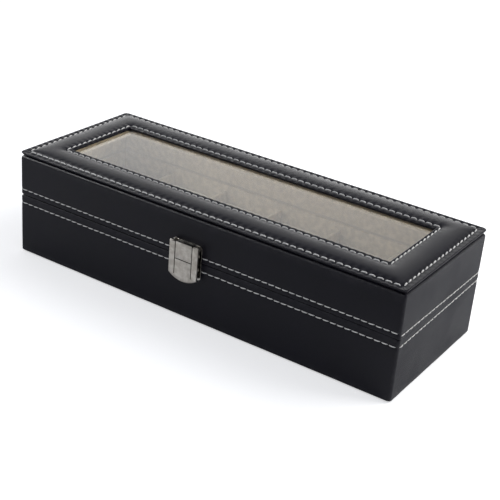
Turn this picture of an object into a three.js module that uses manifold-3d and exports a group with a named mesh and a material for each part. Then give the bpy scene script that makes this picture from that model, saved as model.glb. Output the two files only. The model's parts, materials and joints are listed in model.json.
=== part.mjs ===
// A watch and jewelry box: a leather covered base with six cushioned compartments, and a hinged lid
// with a glass window under a padded, stitched leather frame. A swinging clasp holds the lid shut.
// Millimetres. X runs along the front, Y from the front to the back and Z up. The origin is on the
// table, under the middle of the box.

import * as THREE from 'three';
import { mergeVertices } from 'three/addons/utils/BufferGeometryUtils.js';
import Module from 'manifold-3d';

const wasm = await Module();
wasm.setup();

// Body of the box
const boxLength = 300;
const boxDepth = 113;
const baseHeight = 43.7;
const seamGap = 0.4;
const lidWallHeight = 29.1;
const cornerRadius = 1.6;
const leatherThickness = 0.8;

// Boards under the leather
const lidBoardThickness = 4;
const bottomBoardThickness = 3;

// Underside
const feltThickness = 0.6;
const feltInset = 4;
const turnUnderWidth = 12;

// Tray inside the base
const compartmentCount = 6;
const trayFloorThickness = 1.6;
const trayBoardThickness = 2;
const trayLip = 4.2;
const lipClearance = 0.5;
const dividerThickness = 2.4;
const dividerDrop = 0.2;

// Cushions
const cushionSideGap = 0.9;
const cushionEndGap = 2.7;
const cushionHeight = 36;
const cushionSeatGap = 0.3;
const cushionPuff = 0.9;

// Padded frame on top of the lid, with its insets measured inwards from the outside of the box
const capGap = 0.3;
const capInset = 0.2;
const capEdgeHeight = 2.75;
const capEdgeRadius = 1.3;
const capGroove = 1.1;
const capCrown = 1.42;
const capLeatherThickness = 0.7;
const capFoamGap = 0.3;
const capFoamReach = 1;
const seamFromEdge = 4.1;
const seamFromWindow = 3;
const windowInset = 25;
const windowEdgeHeight = 3.9;
const windowEdgeRadius = 0.9;

// Glass, which lies in the padded frame's board, and the velvet frame under it
const glassThickness = 1.8;
const glassOverlap = 9;
const glassGap = 0.4;
const topBoardThickness = 1.2;
const retainerThickness = 1.3;
const retainerReach = 2.3;
const retainerShelf = 5;
const retainerGap = 0.3;
const lidLinerThickness = 1.6;
const lidLinerLift = 1.6;

// Hinges on the back
const hingeSpacing = 170;
const hingeWidth = 25;
const hingeLeafHeight = 12;
const hingeLeafThickness = 0.8;
const hingeCornerRadius = 1.5;
const knuckleRadius = 2.35;
const knuckleStandoff = 0.3;
const knuckleCount = 3;
const knuckleGap = 0.4;
const hingePinRadius = 0.8;
const hingePinHead = 0.5;

// Clasp on the front
const claspShift = -3.5;
const claspPlateWidth = 23.2;
const claspPlateThickness = 1;
const claspUpperHeight = 12.1;
const claspLowerHeight = 12.1;
const claspPlateSeamGap = 0.1;
const claspCornerRadius = 2;
const flapSideInset = 0.4;
const flapThickness = 1.2;
const flapBelow = 15.4;
const flapArcRise = 3.9;
const stripWidth = 4.3;
const flapSlit = 0.45;
const flapGrooveDepth = 0.4;
const flapGrooveStop = 4.4;
const claspPinRadius = 0.8;
const claspPinDrop = 1.8;
const claspPinBack = 0.6;
const flapEarWall = 0.6;
const flapEarPlateGap = 0.5;
const flapEarSideGap = 0.25;
const keeperWidth = 8;
const keeperHeight = 7;
const keeperDrop = 2.6;
const nibWidth = 1.2;
const nibHeight = 4;
const nibReach = 2.2;

// Screws
const screwHeadRadius = 1.6;
const screwHeadHeight = 0.7;
const screwShankRadius = 0.7;
const screwShankLength = 4;
const hingeScrewSide = 5;
const hingeScrewEdge = 4;
const claspScrewGap = 0.35;
const claspScrewEdge = 4.8;

// Clearances and overruns
const pinClearance = 0.3;
const nibClearance = 0.3;
const cutOverrun = 5;

// Faces, measured inwards from the outside of the box
const lidBoardInner = leatherThickness + lidBoardThickness;
const lidLinerInner = lidBoardInner + lidLinerThickness;
const baseBoardInner = lidBoardInner + lipClearance;
const baseBoardThickness = baseBoardInner - leatherThickness;
const trayInner = baseBoardInner + trayBoardThickness;
const glassInset = windowInset - glassOverlap;
const capBoardInset = capInset + capGroove + capLeatherThickness;
const outerSeamInset = capInset + seamFromEdge;
const innerSeamInset = windowInset - seamFromWindow;
const shelfInset = windowInset - retainerShelf;

// Levels, measured up from the table
const halfLength = boxLength / 2;
const halfDepth = boxDepth / 2;
const wrapBottom = feltThickness;
const boardBottom = wrapBottom + leatherThickness;
const floorTop = boardBottom + bottomBoardThickness + trayFloorThickness;
const trayTop = baseHeight + trayLip;
const lidBottom = baseHeight + seamGap;
const lidWallTop = lidBottom + lidWallHeight;
const capBottom = lidWallTop + capGap;
const capEdgeTop = capBottom + capEdgeHeight;
const windowEdgeTop = capBottom + windowEdgeHeight;
const retainerTop = capBottom - topBoardThickness;
const retainerBottom = retainerTop - retainerThickness;
const seamLevel = baseHeight + seamGap / 2;

// Finishes
const blackLeather = { color: 0x1b1b1e, roughness: 0.42, metalness: 0 };
const creamVelvet = { color: 0xd9cdb8, roughness: 0.95, metalness: 0 };
const fibreBoard = { color: 0x9c7a55, roughness: 0.85, metalness: 0 };
const paleFoam = { color: 0xd8d2bc, roughness: 0.95, metalness: 0 };
const blackFelt = { color: 0x141414, roughness: 1, metalness: 0 };
const satinNickel = { color: 0xc9c5bd, roughness: 0.32, metalness: 1 };
const clearGlass = { color: 0xe9eeec, roughness: 0.05, metalness: 0, transparent: true, opacity: 0.3 };

const model = new THREE.Group();

/** Adds one named piece to the model, or to the group given. */
function addPiece(name, geometry, finish, parent = model) {
  const mesh = new THREE.Mesh(geometry, new THREE.MeshStandardMaterial(finish));
  mesh.name = name;
  parent.add(mesh);
  return mesh;
}

/** A geometry as a solid that can be joined and cut. */
function solidOf(geometry) {
  const bare = geometry.clone();
  bare.deleteAttribute('normal');
  bare.deleteAttribute('uv');
  const merged = mergeVertices(bare);
  return new wasm.Manifold(new wasm.Mesh({
    numProp: 3,
    vertProperties: new Float32Array(merged.attributes.position.array),
    triVerts: new Uint32Array(merged.index.array),
  }));
}

/** A solid as a geometry. */
function geometryOf(solid) {
  const mesh = solid.getMesh();
  const geometry = new THREE.BufferGeometry();
  geometry.setAttribute('position', new THREE.BufferAttribute(new Float32Array(mesh.vertProperties), 3));
  geometry.setIndex(new THREE.BufferAttribute(new Uint32Array(mesh.triVerts), 1));
  geometry.computeVertexNormals();
  return geometry;
}

/** The first geometry with the others joined to it, and then the cuts taken out. */
function shape(bodies, cuts = []) {
  let solid = bodies.map(solidOf).reduce((whole, piece) => whole.add(piece));
  for (const cut of cuts) solid = solid.subtract(solidOf(cut));
  return geometryOf(solid);
}

/** A box between two corners. */
function slab([x0, x1], [y0, y1], [z0, z1]) {
  const geometry = new THREE.BoxGeometry(x1 - x0, y1 - y0, z1 - z0);
  return geometry.translate((x0 + x1) / 2, (y0 + y1) / 2, (z0 + z1) / 2);
}

/** A box that keeps the same distance inside the outer walls on all four sides. */
function insetSlab(inset, levels) {
  return slab([inset - halfLength, halfLength - inset], [inset - halfDepth, halfDepth - inset], levels);
}

/** A rectangle with a radius of its own at each corner: lower left, lower right, upper right, upper left. */
function roundedRectangle([x0, x1], [y0, y1], radii) {
  const [lowerLeft, lowerRight, upperRight, upperLeft] = radii;
  const outline = new THREE.Shape();
  outline.moveTo(x0 + lowerLeft, y0);
  outline.lineTo(x1 - lowerRight, y0);
  if (lowerRight) outline.absarc(x1 - lowerRight, y0 + lowerRight, lowerRight, -Math.PI / 2, 0);
  outline.lineTo(x1, y1 - upperRight);
  if (upperRight) outline.absarc(x1 - upperRight, y1 - upperRight, upperRight, 0, Math.PI / 2);
  outline.lineTo(x0 + upperLeft, y1);
  if (upperLeft) outline.absarc(x0 + upperLeft, y1 - upperLeft, upperLeft, Math.PI / 2, Math.PI);
  outline.lineTo(x0, y0 + lowerLeft);
  if (lowerLeft) outline.absarc(x0 + lowerLeft, y0 + lowerLeft, lowerLeft, Math.PI, Math.PI * 1.5);
  return outline;
}

/** An outline in X and Y, extruded upwards between two levels. */
function prism(outline, [z0, z1], curveSegments = 4) {
  const geometry = new THREE.ExtrudeGeometry(outline, { depth: z1 - z0, bevelEnabled: false, curveSegments });
  return geometry.translate(0, 0, z0);
}

/** An outline in X and Z, extruded from front to back. */
function uprightPlate(outline, [front, back], curveSegments = 4) {
  const options = { depth: back - front, bevelEnabled: false, curveSegments };
  const geometry = new THREE.ExtrudeGeometry(outline, options);
  return geometry.rotateX(Math.PI / 2).translate(0, back, 0);
}

/** A round bar along X. */
function barAlongX(radius, [x0, x1], y, z, sides = 16) {
  const geometry = new THREE.CylinderGeometry(radius, radius, x1 - x0, sides);
  return geometry.rotateZ(Math.PI / 2).translate((x0 + x1) / 2, y, z);
}

/** A round bar along Y. */
function barAlongY(radius, x, [y0, y1], z, sides = 10) {
  return new THREE.CylinderGeometry(radius, radius, y1 - y0, sides).translate(x, (y0 + y1) / 2, z);
}

/** A frame with mitred corners whose section is a closed outline of [inset, level] points. */
function mitredFrame(section) {
  const corners = [[-1, -1], [1, -1], [1, 1], [-1, 1]];
  const positions = [];
  const index = [];
  for (const [signX, signY] of corners) {
    for (const [inset, level] of section) {
      positions.push(signX * (halfLength - inset), signY * (halfDepth - inset), level);
    }
  }
  const count = section.length;
  for (let corner = 0; corner < corners.length; corner += 1) {
    const here = corner * count;
    const next = ((corner + 1) % corners.length) * count;
    for (let i = 0; i < count; i += 1) {
      const j = (i + 1) % count;
      index.push(here + i, here + j, next + j, here + i, next + j, next + i);
    }
  }
  const geometry = new THREE.BufferGeometry();
  geometry.setAttribute('position', new THREE.Float32BufferAttribute(positions, 3));
  geometry.setIndex(index);
  geometry.computeVertexNormals();
  return geometry;
}

/** A screw whose head stands on a face at y, with facing -1 towards the front and 1 towards the back. */
function screw(x, y, z, facing) {
  const headCurveShare = 0.75;
  const headEdgeShare = 0.45;
  const profile = [
    [0, -screwShankLength],
    [screwShankRadius, -screwShankLength],
    [screwShankRadius, 0],
    [screwHeadRadius, 0],
    [screwHeadRadius, screwHeadHeight * headEdgeShare],
    [screwHeadRadius * headCurveShare, screwHeadHeight],
    [0, screwHeadHeight],
  ];
  const points = profile.map(([radius, height]) => new THREE.Vector2(radius, height));
  const geometry = new THREE.LatheGeometry(points, 10);
  if (facing < 0) geometry.rotateX(Math.PI);
  return geometry.translate(x, y, z);
}

/** The hole that a screw on a face at y needs in what lies under it. */
function screwHole(x, y, z, facing) {
  const deep = y - facing * (screwShankLength + pinClearance);
  const clear = y + facing * cutOverrun;
  return barAlongY(screwShankRadius + pinClearance, x, [Math.min(deep, clear), Math.max(deep, clear)], z);
}

/** One screw at each of the places, numbered from one. */
function addScrews(prefix, places) {
  places.forEach((place, i) => addPiece(`${prefix}_${i + 1}`, screw(...place), satinNickel));
}

// Places of the hinges and their screws
const hingeAxisY = halfDepth + knuckleStandoff + knuckleRadius;
const hingeLeafFront = halfDepth;
const hingeLeafBack = halfDepth + hingeLeafThickness;
const leafGap = knuckleRadius + knuckleGap;
const hingeCentres = [['left', -hingeSpacing / 2], ['right', hingeSpacing / 2]];

/** Screw places on one hinge leaf, above the seam with side 1 and below it with side -1. */
function hingeScrewPlaces(centre, side) {
  const level = seamLevel + side * (leafGap + hingeLeafHeight - hingeScrewEdge);
  const reach = hingeWidth / 2 - hingeScrewSide;
  return [-1, 1].map((end) => [centre + end * reach, hingeLeafBack, level, 1]);
}

// Places of the clasp and its screws
const claspBack = -halfDepth;
const claspPlateFront = claspBack - claspPlateThickness;
const flapWidth = claspPlateWidth - 2 * flapSideInset;
const flapEarRadius = claspPinRadius + pinClearance + flapEarWall;
const flapStandoff = claspPinBack + flapEarRadius + flapEarPlateGap;
const flapBack = claspPlateFront - flapStandoff;
const flapFront = flapBack - flapThickness;
const claspUpperBottom = seamLevel + claspPlateSeamGap;
const claspLowerTop = seamLevel - claspPlateSeamGap;
const claspTop = claspUpperBottom + claspUpperHeight;
const claspLowerBottom = claspLowerTop - claspLowerHeight;
const claspPinY = flapBack + claspPinBack;
const claspPinZ = claspTop - claspPinDrop;
const stripInner = flapWidth / 2 - stripWidth;
const blockHalfWidth = stripInner - flapSlit;
const flapPanelTop = seamLevel - flapSlit / 2;

/** Screw places on one clasp plate, the lid's with side 1 and the base's with side -1. */
function claspScrewPlaces(side) {
  const level = seamLevel + side * (claspPlateSeamGap + claspScrewEdge);
  const reach = blockHalfWidth + claspScrewGap + screwHeadRadius;
  return [-1, 1].map((end) => [claspShift + end * reach, claspPlateFront, level, -1]);
}

const baseBackScrews = hingeCentres.flatMap(([, centre]) => hingeScrewPlaces(centre, -1));
const lidBackScrews = hingeCentres.flatMap(([, centre]) => hingeScrewPlaces(centre, 1));
const baseFrontScrews = claspScrewPlaces(-1);
const lidFrontScrews = claspScrewPlaces(1);

/** The four wall boards of the base or the lid, with the holes for their screws. */
function addWallBoards(prefix, thickness, levels, frontHoles, backHoles) {
  const outerX = halfLength - leatherThickness;
  const outerY = halfDepth - leatherThickness;
  const innerX = outerX - thickness;
  const innerY = outerY - thickness;
  const front = slab([-outerX, outerX], [-outerY, -innerY], levels);
  const back = slab([-outerX, outerX], [innerY, outerY], levels);
  addPiece(`${prefix}_front_board`, shape([front], frontHoles), fibreBoard);
  addPiece(`${prefix}_back_board`, shape([back], backHoles), fibreBoard);
  addPiece(`${prefix}_left_board`, slab([-outerX, -innerX], [-innerY, innerY], levels), fibreBoard);
  addPiece(`${prefix}_right_board`, slab([innerX, outerX], [-innerY, innerY], levels), fibreBoard);
}

/** Four lining boards that stand inside the walls, between two distances from the outside. */
function addLiners(prefix, outerInset, innerInset, levels, finish) {
  const [outerX, outerY] = [halfLength - outerInset, halfDepth - outerInset];
  const [innerX, innerY] = [halfLength - innerInset, halfDepth - innerInset];
  addPiece(`${prefix}_front_liner`, slab([-outerX, outerX], [-outerY, -innerY], levels), finish);
  addPiece(`${prefix}_back_liner`, slab([-outerX, outerX], [innerY, outerY], levels), finish);
  addPiece(`${prefix}_left_liner`, slab([-outerX, -innerX], [-innerY, innerY], levels), finish);
  addPiece(`${prefix}_right_liner`, slab([innerX, outerX], [-innerY, innerY], levels), finish);
}

/** A leather skin round the walls, turned over their upper and lower edges. */
function leatherWrap([bottom, top], boardInset, bottomInset, holes) {
  const radii = [cornerRadius, cornerRadius, cornerRadius, cornerRadius];
  const outline = roundedRectangle([-halfLength, halfLength], [-halfDepth, halfDepth], radii);
  const inside = [bottom + leatherThickness, top - leatherThickness];
  return shape([prism(outline, [bottom, top])], [
    insetSlab(leatherThickness, inside),
    insetSlab(boardInset, [inside[0], top + cutOverrun]),
    insetSlab(bottomInset, [bottom - cutOverrun, inside[1]]),
    ...holes,
  ]);
}

/** The base: boards, leather, felt underneath and the velvet tray. */
function addBase() {
  const frontHoles = baseFrontScrews.map((place) => screwHole(...place));
  const backHoles = baseBackScrews.map((place) => screwHole(...place));
  const boardLevels = [boardBottom, baseHeight - leatherThickness];
  addWallBoards('base', baseBoardThickness, boardLevels, frontHoles, backHoles);
  const bottomLevels = [boardBottom, boardBottom + bottomBoardThickness];
  addPiece('base_bottom_board', insetSlab(baseBoardInner, bottomLevels), fibreBoard);
  const holes = [...frontHoles, ...backHoles];
  const wrap = leatherWrap([wrapBottom, baseHeight], baseBoardInner, turnUnderWidth, holes);
  addPiece('base_leather_wrap', wrap, blackLeather);
  const felt = shape([
    insetSlab(feltInset, [0, feltThickness]),
    insetSlab(turnUnderWidth, [0, boardBottom]),
  ]);
  addPiece('base_felt_sheet', felt, blackFelt);
  addPiece('tray_floor_pad', insetSlab(baseBoardInner, [bottomLevels[1], floorTop]), creamVelvet);
  addLiners('tray', baseBoardInner, trayInner, [floorTop, trayTop], creamVelvet);
}

// Compartments, counted from the left
const trayHalfLength = halfLength - trayInner;
const compartmentWidth = (2 * trayHalfLength - (compartmentCount - 1) * dividerThickness) / compartmentCount;
const compartmentPitch = compartmentWidth + dividerThickness;

/** The velvet dividers between the compartments. */
function addDividers() {
  const halfTray = halfDepth - trayInner;
  const levels = [floorTop, baseHeight - dividerDrop];
  for (let i = 1; i < compartmentCount; i += 1) {
    const right = -trayHalfLength + i * compartmentPitch;
    const divider = slab([right - dividerThickness, right], [-halfTray, halfTray], levels);
    addPiece(`divider_${i}`, divider, creamVelvet);
  }
}

/** A number raised to a power without its sign, and the sign put back. */
function signedPower(value, power) {
  return Math.sign(value) * Math.abs(value) ** power;
}

/** A stuffed velvet cushion: a crowned block whose round section runs from front to back. */
function cushionGeometry() {
  const sidePower = 0.3;
  const crownPower = 0.62;
  const around = 28;
  const along = 14;
  const halfWidth = compartmentWidth / 2 - cushionSideGap;
  const halfCushion = halfDepth - trayInner - cushionEndGap;
  const halfHeight = cushionHeight / 2;
  const positions = [-halfWidth, 0, 0];
  const index = [];
  for (let row = 1; row < along; row += 1) {
    const tilt = Math.PI * (row / along - 1 / 2);
    const reach = signedPower(Math.cos(tilt), sidePower);
    for (let step = 0; step < around; step += 1) {
      const turn = (2 * Math.PI * step) / around;
      const y = halfCushion * reach * signedPower(Math.cos(turn), crownPower);
      const z = halfHeight * reach * signedPower(Math.sin(turn), crownPower);
      const middling = Math.cos(Math.PI * y / (2 * halfCushion)) * Math.cos(Math.PI * z / cushionHeight);
      const side = (halfWidth - cushionPuff) * signedPower(Math.sin(tilt), sidePower);
      positions.push(side + cushionPuff * middling * Math.sin(tilt), y, z);
    }
  }
  positions.push(halfWidth, 0, 0);
  const last = 1 + (along - 1) * around;
  for (let step = 0; step < around; step += 1) {
    const next = (step + 1) % around;
    index.push(0, 1 + next, 1 + step);
    index.push(last, last - around + step, last - around + next);
    for (let row = 0; row < along - 2; row += 1) {
      const here = 1 + row * around;
      const beyond = here + around;
      index.push(here + step, here + next, beyond + next, here + step, beyond + next, beyond + step);
    }
  }
  const geometry = new THREE.BufferGeometry();
  geometry.setAttribute('position', new THREE.Float32BufferAttribute(positions, 3));
  geometry.setIndex(index);
  geometry.computeVertexNormals();
  return geometry;
}

/** One cushion in each compartment. */
function addCushions() {
  const cushion = cushionGeometry();
  const middle = floorTop + cushionSeatGap + cushionHeight / 2;
  for (let i = 0; i < compartmentCount; i += 1) {
    const place = addPiece(`cushion_${i + 1}`, cushion, creamVelvet);
    place.position.set(-trayHalfLength + i * compartmentPitch + compartmentWidth / 2, 0, middle);
  }
}

/** Points of the padding between the outer seam and the inner, each seam given as an inset and a level. */
function crownPoints([fromInset, fromLevel], [toInset, toLevel], crown) {
  const crownSteps = 12;
  const crownPower = 0.8;
  const points = [];
  for (let i = 0; i <= crownSteps; i += 1) {
    const across = i / crownSteps;
    points.push([
      fromInset + (toInset - fromInset) * across,
      fromLevel + (toLevel - fromLevel) * across + crown * Math.sin(Math.PI * across) ** crownPower,
    ]);
  }
  return points;
}

/** Points of a quarter round between two directions, about a centre given as an inset and a level. */
function quarterRound(inset, level, radius, from, to) {
  const steps = 4;
  const points = [];
  for (let i = 0; i <= steps; i += 1) {
    const turn = from + ((to - from) * i) / steps;
    points.push([inset - radius * Math.cos(turn), level + radius * Math.sin(turn)]);
  }
  return points;
}

/** The padded frame round the window: its board, its foam and its leather. */
function addCap() {
  const skin = capLeatherThickness;
  const [boardTop, windowBoardTop] = [capEdgeTop - skin, windowEdgeTop - skin];
  const [outerRound, windowRound] = [capEdgeRadius, windowEdgeRadius];
  const underEdge = -Math.PI / 4;
  const windowSide = windowInset - skin;
  const leather = mitredFrame([
    [capInset + capGroove, capBottom],
    ...quarterRound(capInset + outerRound, capEdgeTop - outerRound, outerRound, underEdge, Math.PI / 2),
    ...crownPoints([outerSeamInset, capEdgeTop], [innerSeamInset, windowEdgeTop], capCrown),
    ...quarterRound(windowInset - windowRound, windowEdgeTop - windowRound, windowRound, Math.PI / 2, Math.PI),
    [windowInset, boardTop],
    [windowSide, boardTop],
    [windowSide, windowBoardTop],
    ...crownPoints([outerSeamInset, boardTop], [innerSeamInset, windowBoardTop], capCrown).reverse(),
    [capBoardInset, boardTop],
    [capBoardInset, capBottom],
  ].reverse());
  addPiece('cap_leather', leather, blackLeather);
  const foamInner = windowBoardTop - capFoamGap;
  const foamStart = [outerSeamInset + capFoamReach, boardTop];
  const foam = mitredFrame([
    ...crownPoints(foamStart, [innerSeamInset - capFoamGap, foamInner], capCrown - capFoamGap),
    [windowSide - capFoamGap, foamInner],
    [windowSide - capFoamGap, boardTop],
  ].reverse());
  addPiece('cap_foam_ring', foam, paleFoam);
  addPiece('cap_board', flatFrame(capBoardInset, glassInset - glassGap, [capBottom, boardTop]), fibreBoard);
}

/** A flat frame with square corners between two insets. */
function flatFrame(outerInset, innerInset, [bottom, top]) {
  return mitredFrame([[outerInset, bottom], [innerInset, bottom], [innerInset, top], [outerInset, top]]);
}

/** The lid: boards, leather, padded frame, glass and the velvet inside. */
function addLid() {
  const frontHoles = lidFrontScrews.map((place) => screwHole(...place));
  const backHoles = lidBackScrews.map((place) => screwHole(...place));
  const boardLevels = [lidBottom + leatherThickness, lidWallTop - leatherThickness];
  addWallBoards('lid', lidBoardThickness, boardLevels, frontHoles, backHoles);
  const holes = [...frontHoles, ...backHoles];
  const wrap = leatherWrap([lidBottom, lidWallTop], lidBoardInner, lidBoardInner, holes);
  addPiece('lid_leather_wrap', wrap, blackLeather);
  const topBoard = flatFrame(lidBoardInner, shelfInset - retainerGap, [retainerTop, capBottom]);
  addPiece('lid_top_board', topBoard, fibreBoard);
  addCap();
  addPiece('glass_pane', insetSlab(glassInset, [capBottom, capBottom + glassThickness]), clearGlass);
  const retainerInner = windowInset + retainerReach;
  const retainer = mitredFrame([
    [lidBoardInner, retainerBottom],
    [retainerInner, retainerBottom],
    [retainerInner, capBottom],
    [shelfInset, capBottom],
    [shelfInset, retainerTop],
    [lidBoardInner, retainerTop],
  ]);
  addPiece('glass_retaining_frame', retainer, creamVelvet);
  addLiners('lid', lidBoardInner, lidLinerInner, [trayTop + lidLinerLift, retainerBottom], creamVelvet);
}

/** One hinge leaf on the back, on the lid with side 1 and on the base with side -1. */
function hingeLeaf(centre, side) {
  const near = seamLevel + side * leafGap;
  const far = near + side * hingeLeafHeight;
  const sides = [centre - hingeWidth / 2, centre + hingeWidth / 2];
  const root = [seamLevel, near + side * knuckleGap].sort((a, b) => a - b);
  const round = hingeCornerRadius;
  const radii = side > 0 ? [0, 0, round, round] : [round, round, 0, 0];
  const plate = roundedRectangle(sides, [Math.min(near, far), Math.max(near, far)], radii);
  const bodies = [uprightPlate(plate, [hingeLeafFront, hingeLeafBack])];
  const bores = [];
  const pitch = hingeWidth / knuckleCount;
  for (let i = 0; i < knuckleCount; i += 1) {
    const onLid = i % 2 === 1;
    if (onLid !== side > 0) continue;
    const ends = [sides[0] + i * pitch + knuckleGap / 2, sides[0] + (i + 1) * pitch - knuckleGap / 2];
    const through = [ends[0] - cutOverrun, ends[1] + cutOverrun];
    bodies.push(barAlongX(knuckleRadius, ends, hingeAxisY, seamLevel));
    bodies.push(slab(ends, [hingeAxisY - knuckleRadius, hingeLeafBack], root));
    bores.push(barAlongX(hingePinRadius + pinClearance, through, hingeAxisY, seamLevel));
  }
  const holes = hingeScrewPlaces(centre, side).map((place) => screwHole(...place));
  return shape(bodies, [...bores, ...holes]);
}

/** Both hinges, with their pins and screws. */
function addHinges() {
  for (const [name, centre] of hingeCentres) {
    addPiece(`${name}_hinge_base_leaf`, hingeLeaf(centre, -1), satinNickel);
    addPiece(`${name}_hinge_lid_leaf`, hingeLeaf(centre, 1), satinNickel);
    const half = hingeWidth / 2 + hingePinHead;
    const pin = barAlongX(hingePinRadius, [centre - half, centre + half], hingeAxisY, seamLevel);
    addPiece(`${name}_hinge_pin`, pin, satinNickel);
  }
  addScrews('base_hinge_screw', baseBackScrews);
  addScrews('lid_hinge_screw', lidBackScrews);
}

/** The clasp's plate on the lid, with the block that carries the pin between the flap's strips. */
function addClaspLidPlate() {
  const sides = [claspShift - claspPlateWidth / 2, claspShift + claspPlateWidth / 2];
  const radii = [0, 0, claspCornerRadius, claspCornerRadius];
  const outline = roundedRectangle(sides, [claspUpperBottom, claspTop], radii);
  const block = slab(
    [claspShift - blockHalfWidth, claspShift + blockHalfWidth],
    [flapFront, claspPlateFront],
    [seamLevel + flapSlit / 2, claspTop],
  );
  const bore = barAlongX(claspPinRadius + pinClearance, sides, claspPinY, claspPinZ);
  const holes = lidFrontScrews.map((place) => screwHole(...place));
  const plate = shape([uprightPlate(outline, [claspPlateFront, claspBack]), block], [bore, ...holes]);
  addPiece('clasp_lid_plate', plate, satinNickel);
  addScrews('clasp_lid_screw', lidFrontScrews);
}

/** The clasp's plate on the base, with the keeper that the flap's nibs grip. */
function addClaspKeeperPlate() {
  const sides = [claspShift - claspPlateWidth / 2, claspShift + claspPlateWidth / 2];
  const radii = [claspCornerRadius, claspCornerRadius, 0, 0];
  const outline = roundedRectangle(sides, [claspLowerBottom, claspLowerTop], radii);
  const keeperTop = claspLowerTop - keeperDrop;
  const keeper = slab(
    [claspShift - keeperWidth / 2, claspShift + keeperWidth / 2],
    [flapBack + nibClearance, claspPlateFront],
    [keeperTop - keeperHeight, keeperTop],
  );
  const holes = baseFrontScrews.map((place) => screwHole(...place));
  const plate = shape([uprightPlate(outline, [claspPlateFront, claspBack]), keeper], holes);
  addPiece('clasp_keeper_plate', plate, satinNickel);
  addScrews('clasp_keeper_screw', baseFrontScrews);
}

/** The outline of the flap: two strips beside the block, a panel below it and a curved lower edge. */
function flapOutline() {
  const half = flapWidth / 2;
  const lowest = seamLevel - flapBelow;
  const arcStart = lowest + flapArcRise;
  const arcRadius = (half ** 2 + flapArcRise ** 2) / (2 * flapArcRise);
  const spread = Math.asin(half / arcRadius);
  const outline = new THREE.Shape();
  outline.moveTo(claspShift - half, claspTop);
  outline.lineTo(claspShift - half, arcStart);
  outline.absarc(claspShift, lowest + arcRadius, arcRadius, -Math.PI / 2 - spread, spread - Math.PI / 2);
  outline.lineTo(claspShift + half, claspTop);
  outline.lineTo(claspShift + stripInner, claspTop);
  outline.lineTo(claspShift + stripInner, flapPanelTop);
  outline.lineTo(claspShift - stripInner, flapPanelTop);
  outline.lineTo(claspShift - stripInner, claspTop);
  return outline;
}

/** The swinging flap, with ears for the pin and nibs that grip the keeper. */
function addClaspFlap() {
  const arcSegments = 10;
  const bodies = [uprightPlate(flapOutline(), [flapFront, flapBack], arcSegments)];
  const cuts = [];
  const nibInner = keeperWidth / 2 + nibClearance;
  const nibTop = claspLowerTop - keeperDrop - (keeperHeight - nibHeight) / 2;
  const nibDepths = [flapBack - flapThickness / 2, flapBack + nibReach];
  const grooveBottom = seamLevel - flapBelow + flapGrooveStop;
  for (const side of [-1, 1]) {
    const across = (from, to) => [from, to].map((x) => claspShift + side * x).sort((a, b) => a - b);
    const earEnds = across(stripInner + flapEarSideGap, flapWidth / 2 - flapEarSideGap);
    const earBore = across(stripInner - flapEarSideGap, flapWidth / 2 + cutOverrun);
    const nibSides = across(nibInner, nibInner + nibWidth);
    const grooveDepths = [flapFront - cutOverrun, flapFront + flapGrooveDepth];
    const grooveLevels = [grooveBottom, flapPanelTop + flapSlit];
    bodies.push(barAlongX(flapEarRadius, earEnds, claspPinY, claspPinZ));
    bodies.push(slab(nibSides, nibDepths, [nibTop - nibHeight, nibTop]));
    cuts.push(barAlongX(claspPinRadius + pinClearance, earBore, claspPinY, claspPinZ));
    cuts.push(slab(across(blockHalfWidth, stripInner), grooveDepths, grooveLevels));
  }
  addPiece('clasp_flap', shape(bodies, cuts), satinNickel);
  const pinHalf = flapWidth / 2 - flapEarSideGap;
  const pin = barAlongX(claspPinRadius, [claspShift - pinHalf, claspShift + pinHalf], claspPinY, claspPinZ);
  addPiece('clasp_pin', pin, satinNickel);
}

addBase();
addDividers();
addCushions();
addLid();
addHinges();
addClaspLidPlate();
addClaspKeeperPlate();
addClaspFlap();

export default model;
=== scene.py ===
"""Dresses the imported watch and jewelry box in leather, velvet, glass and nickel, in a pale studio."""

import json
import logging
import math
import random
from collections.abc import Iterable, Sequence
from dataclasses import astuple, dataclass, field, replace
from enum import Enum
from typing import NamedTuple

import bmesh
import bpy
from bmesh.types import BMesh, BMEdge, BMVert
from bpy.types import ID, Material, Mesh, Node, NodeSocket, NodeTree, Object
from mathutils import Matrix, Vector, noise


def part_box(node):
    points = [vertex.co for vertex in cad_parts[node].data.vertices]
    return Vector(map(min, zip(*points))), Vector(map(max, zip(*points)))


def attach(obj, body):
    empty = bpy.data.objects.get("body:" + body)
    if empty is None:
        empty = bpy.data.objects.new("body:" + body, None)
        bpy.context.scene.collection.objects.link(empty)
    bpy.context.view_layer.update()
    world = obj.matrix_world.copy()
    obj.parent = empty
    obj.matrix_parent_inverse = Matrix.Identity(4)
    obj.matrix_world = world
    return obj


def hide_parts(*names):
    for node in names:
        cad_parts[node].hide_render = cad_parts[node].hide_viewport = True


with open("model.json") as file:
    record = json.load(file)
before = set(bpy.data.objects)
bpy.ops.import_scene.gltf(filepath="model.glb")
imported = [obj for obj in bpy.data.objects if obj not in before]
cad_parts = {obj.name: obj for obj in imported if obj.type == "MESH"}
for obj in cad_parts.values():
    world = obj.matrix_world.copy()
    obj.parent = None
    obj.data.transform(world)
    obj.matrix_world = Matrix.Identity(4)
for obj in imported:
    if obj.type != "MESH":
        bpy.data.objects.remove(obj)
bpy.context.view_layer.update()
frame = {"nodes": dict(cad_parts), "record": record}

LOG = logging.getLogger("watch_box")

# Lengths are in metres. Points closer than MERGE are one point, on swept skins MERGE_FINE, and levels closer
# than TOUCH are one level. What has more than SQUARE_ON of its direction along an axis runs along it.
MM = 0.001
MERGE = 0.001 * MM
MERGE_FINE = 0.0001 * MM
TOUCH = 0.01 * MM
SQUARE_ON = 0.9

# The marks that meshes carry: edge wear with a painted highlight, painted shade, a painted pool of light
SCUFF_AND_HIGHLIGHT = "wear"
PAINTED_SHADE = "recess"
PAINTED_LIGHT_PATCH = "brushed"

Colour = tuple[float, float, float, float]
WHITE: Colour = (1.0, 1.0, 1.0, 1.0)


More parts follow.
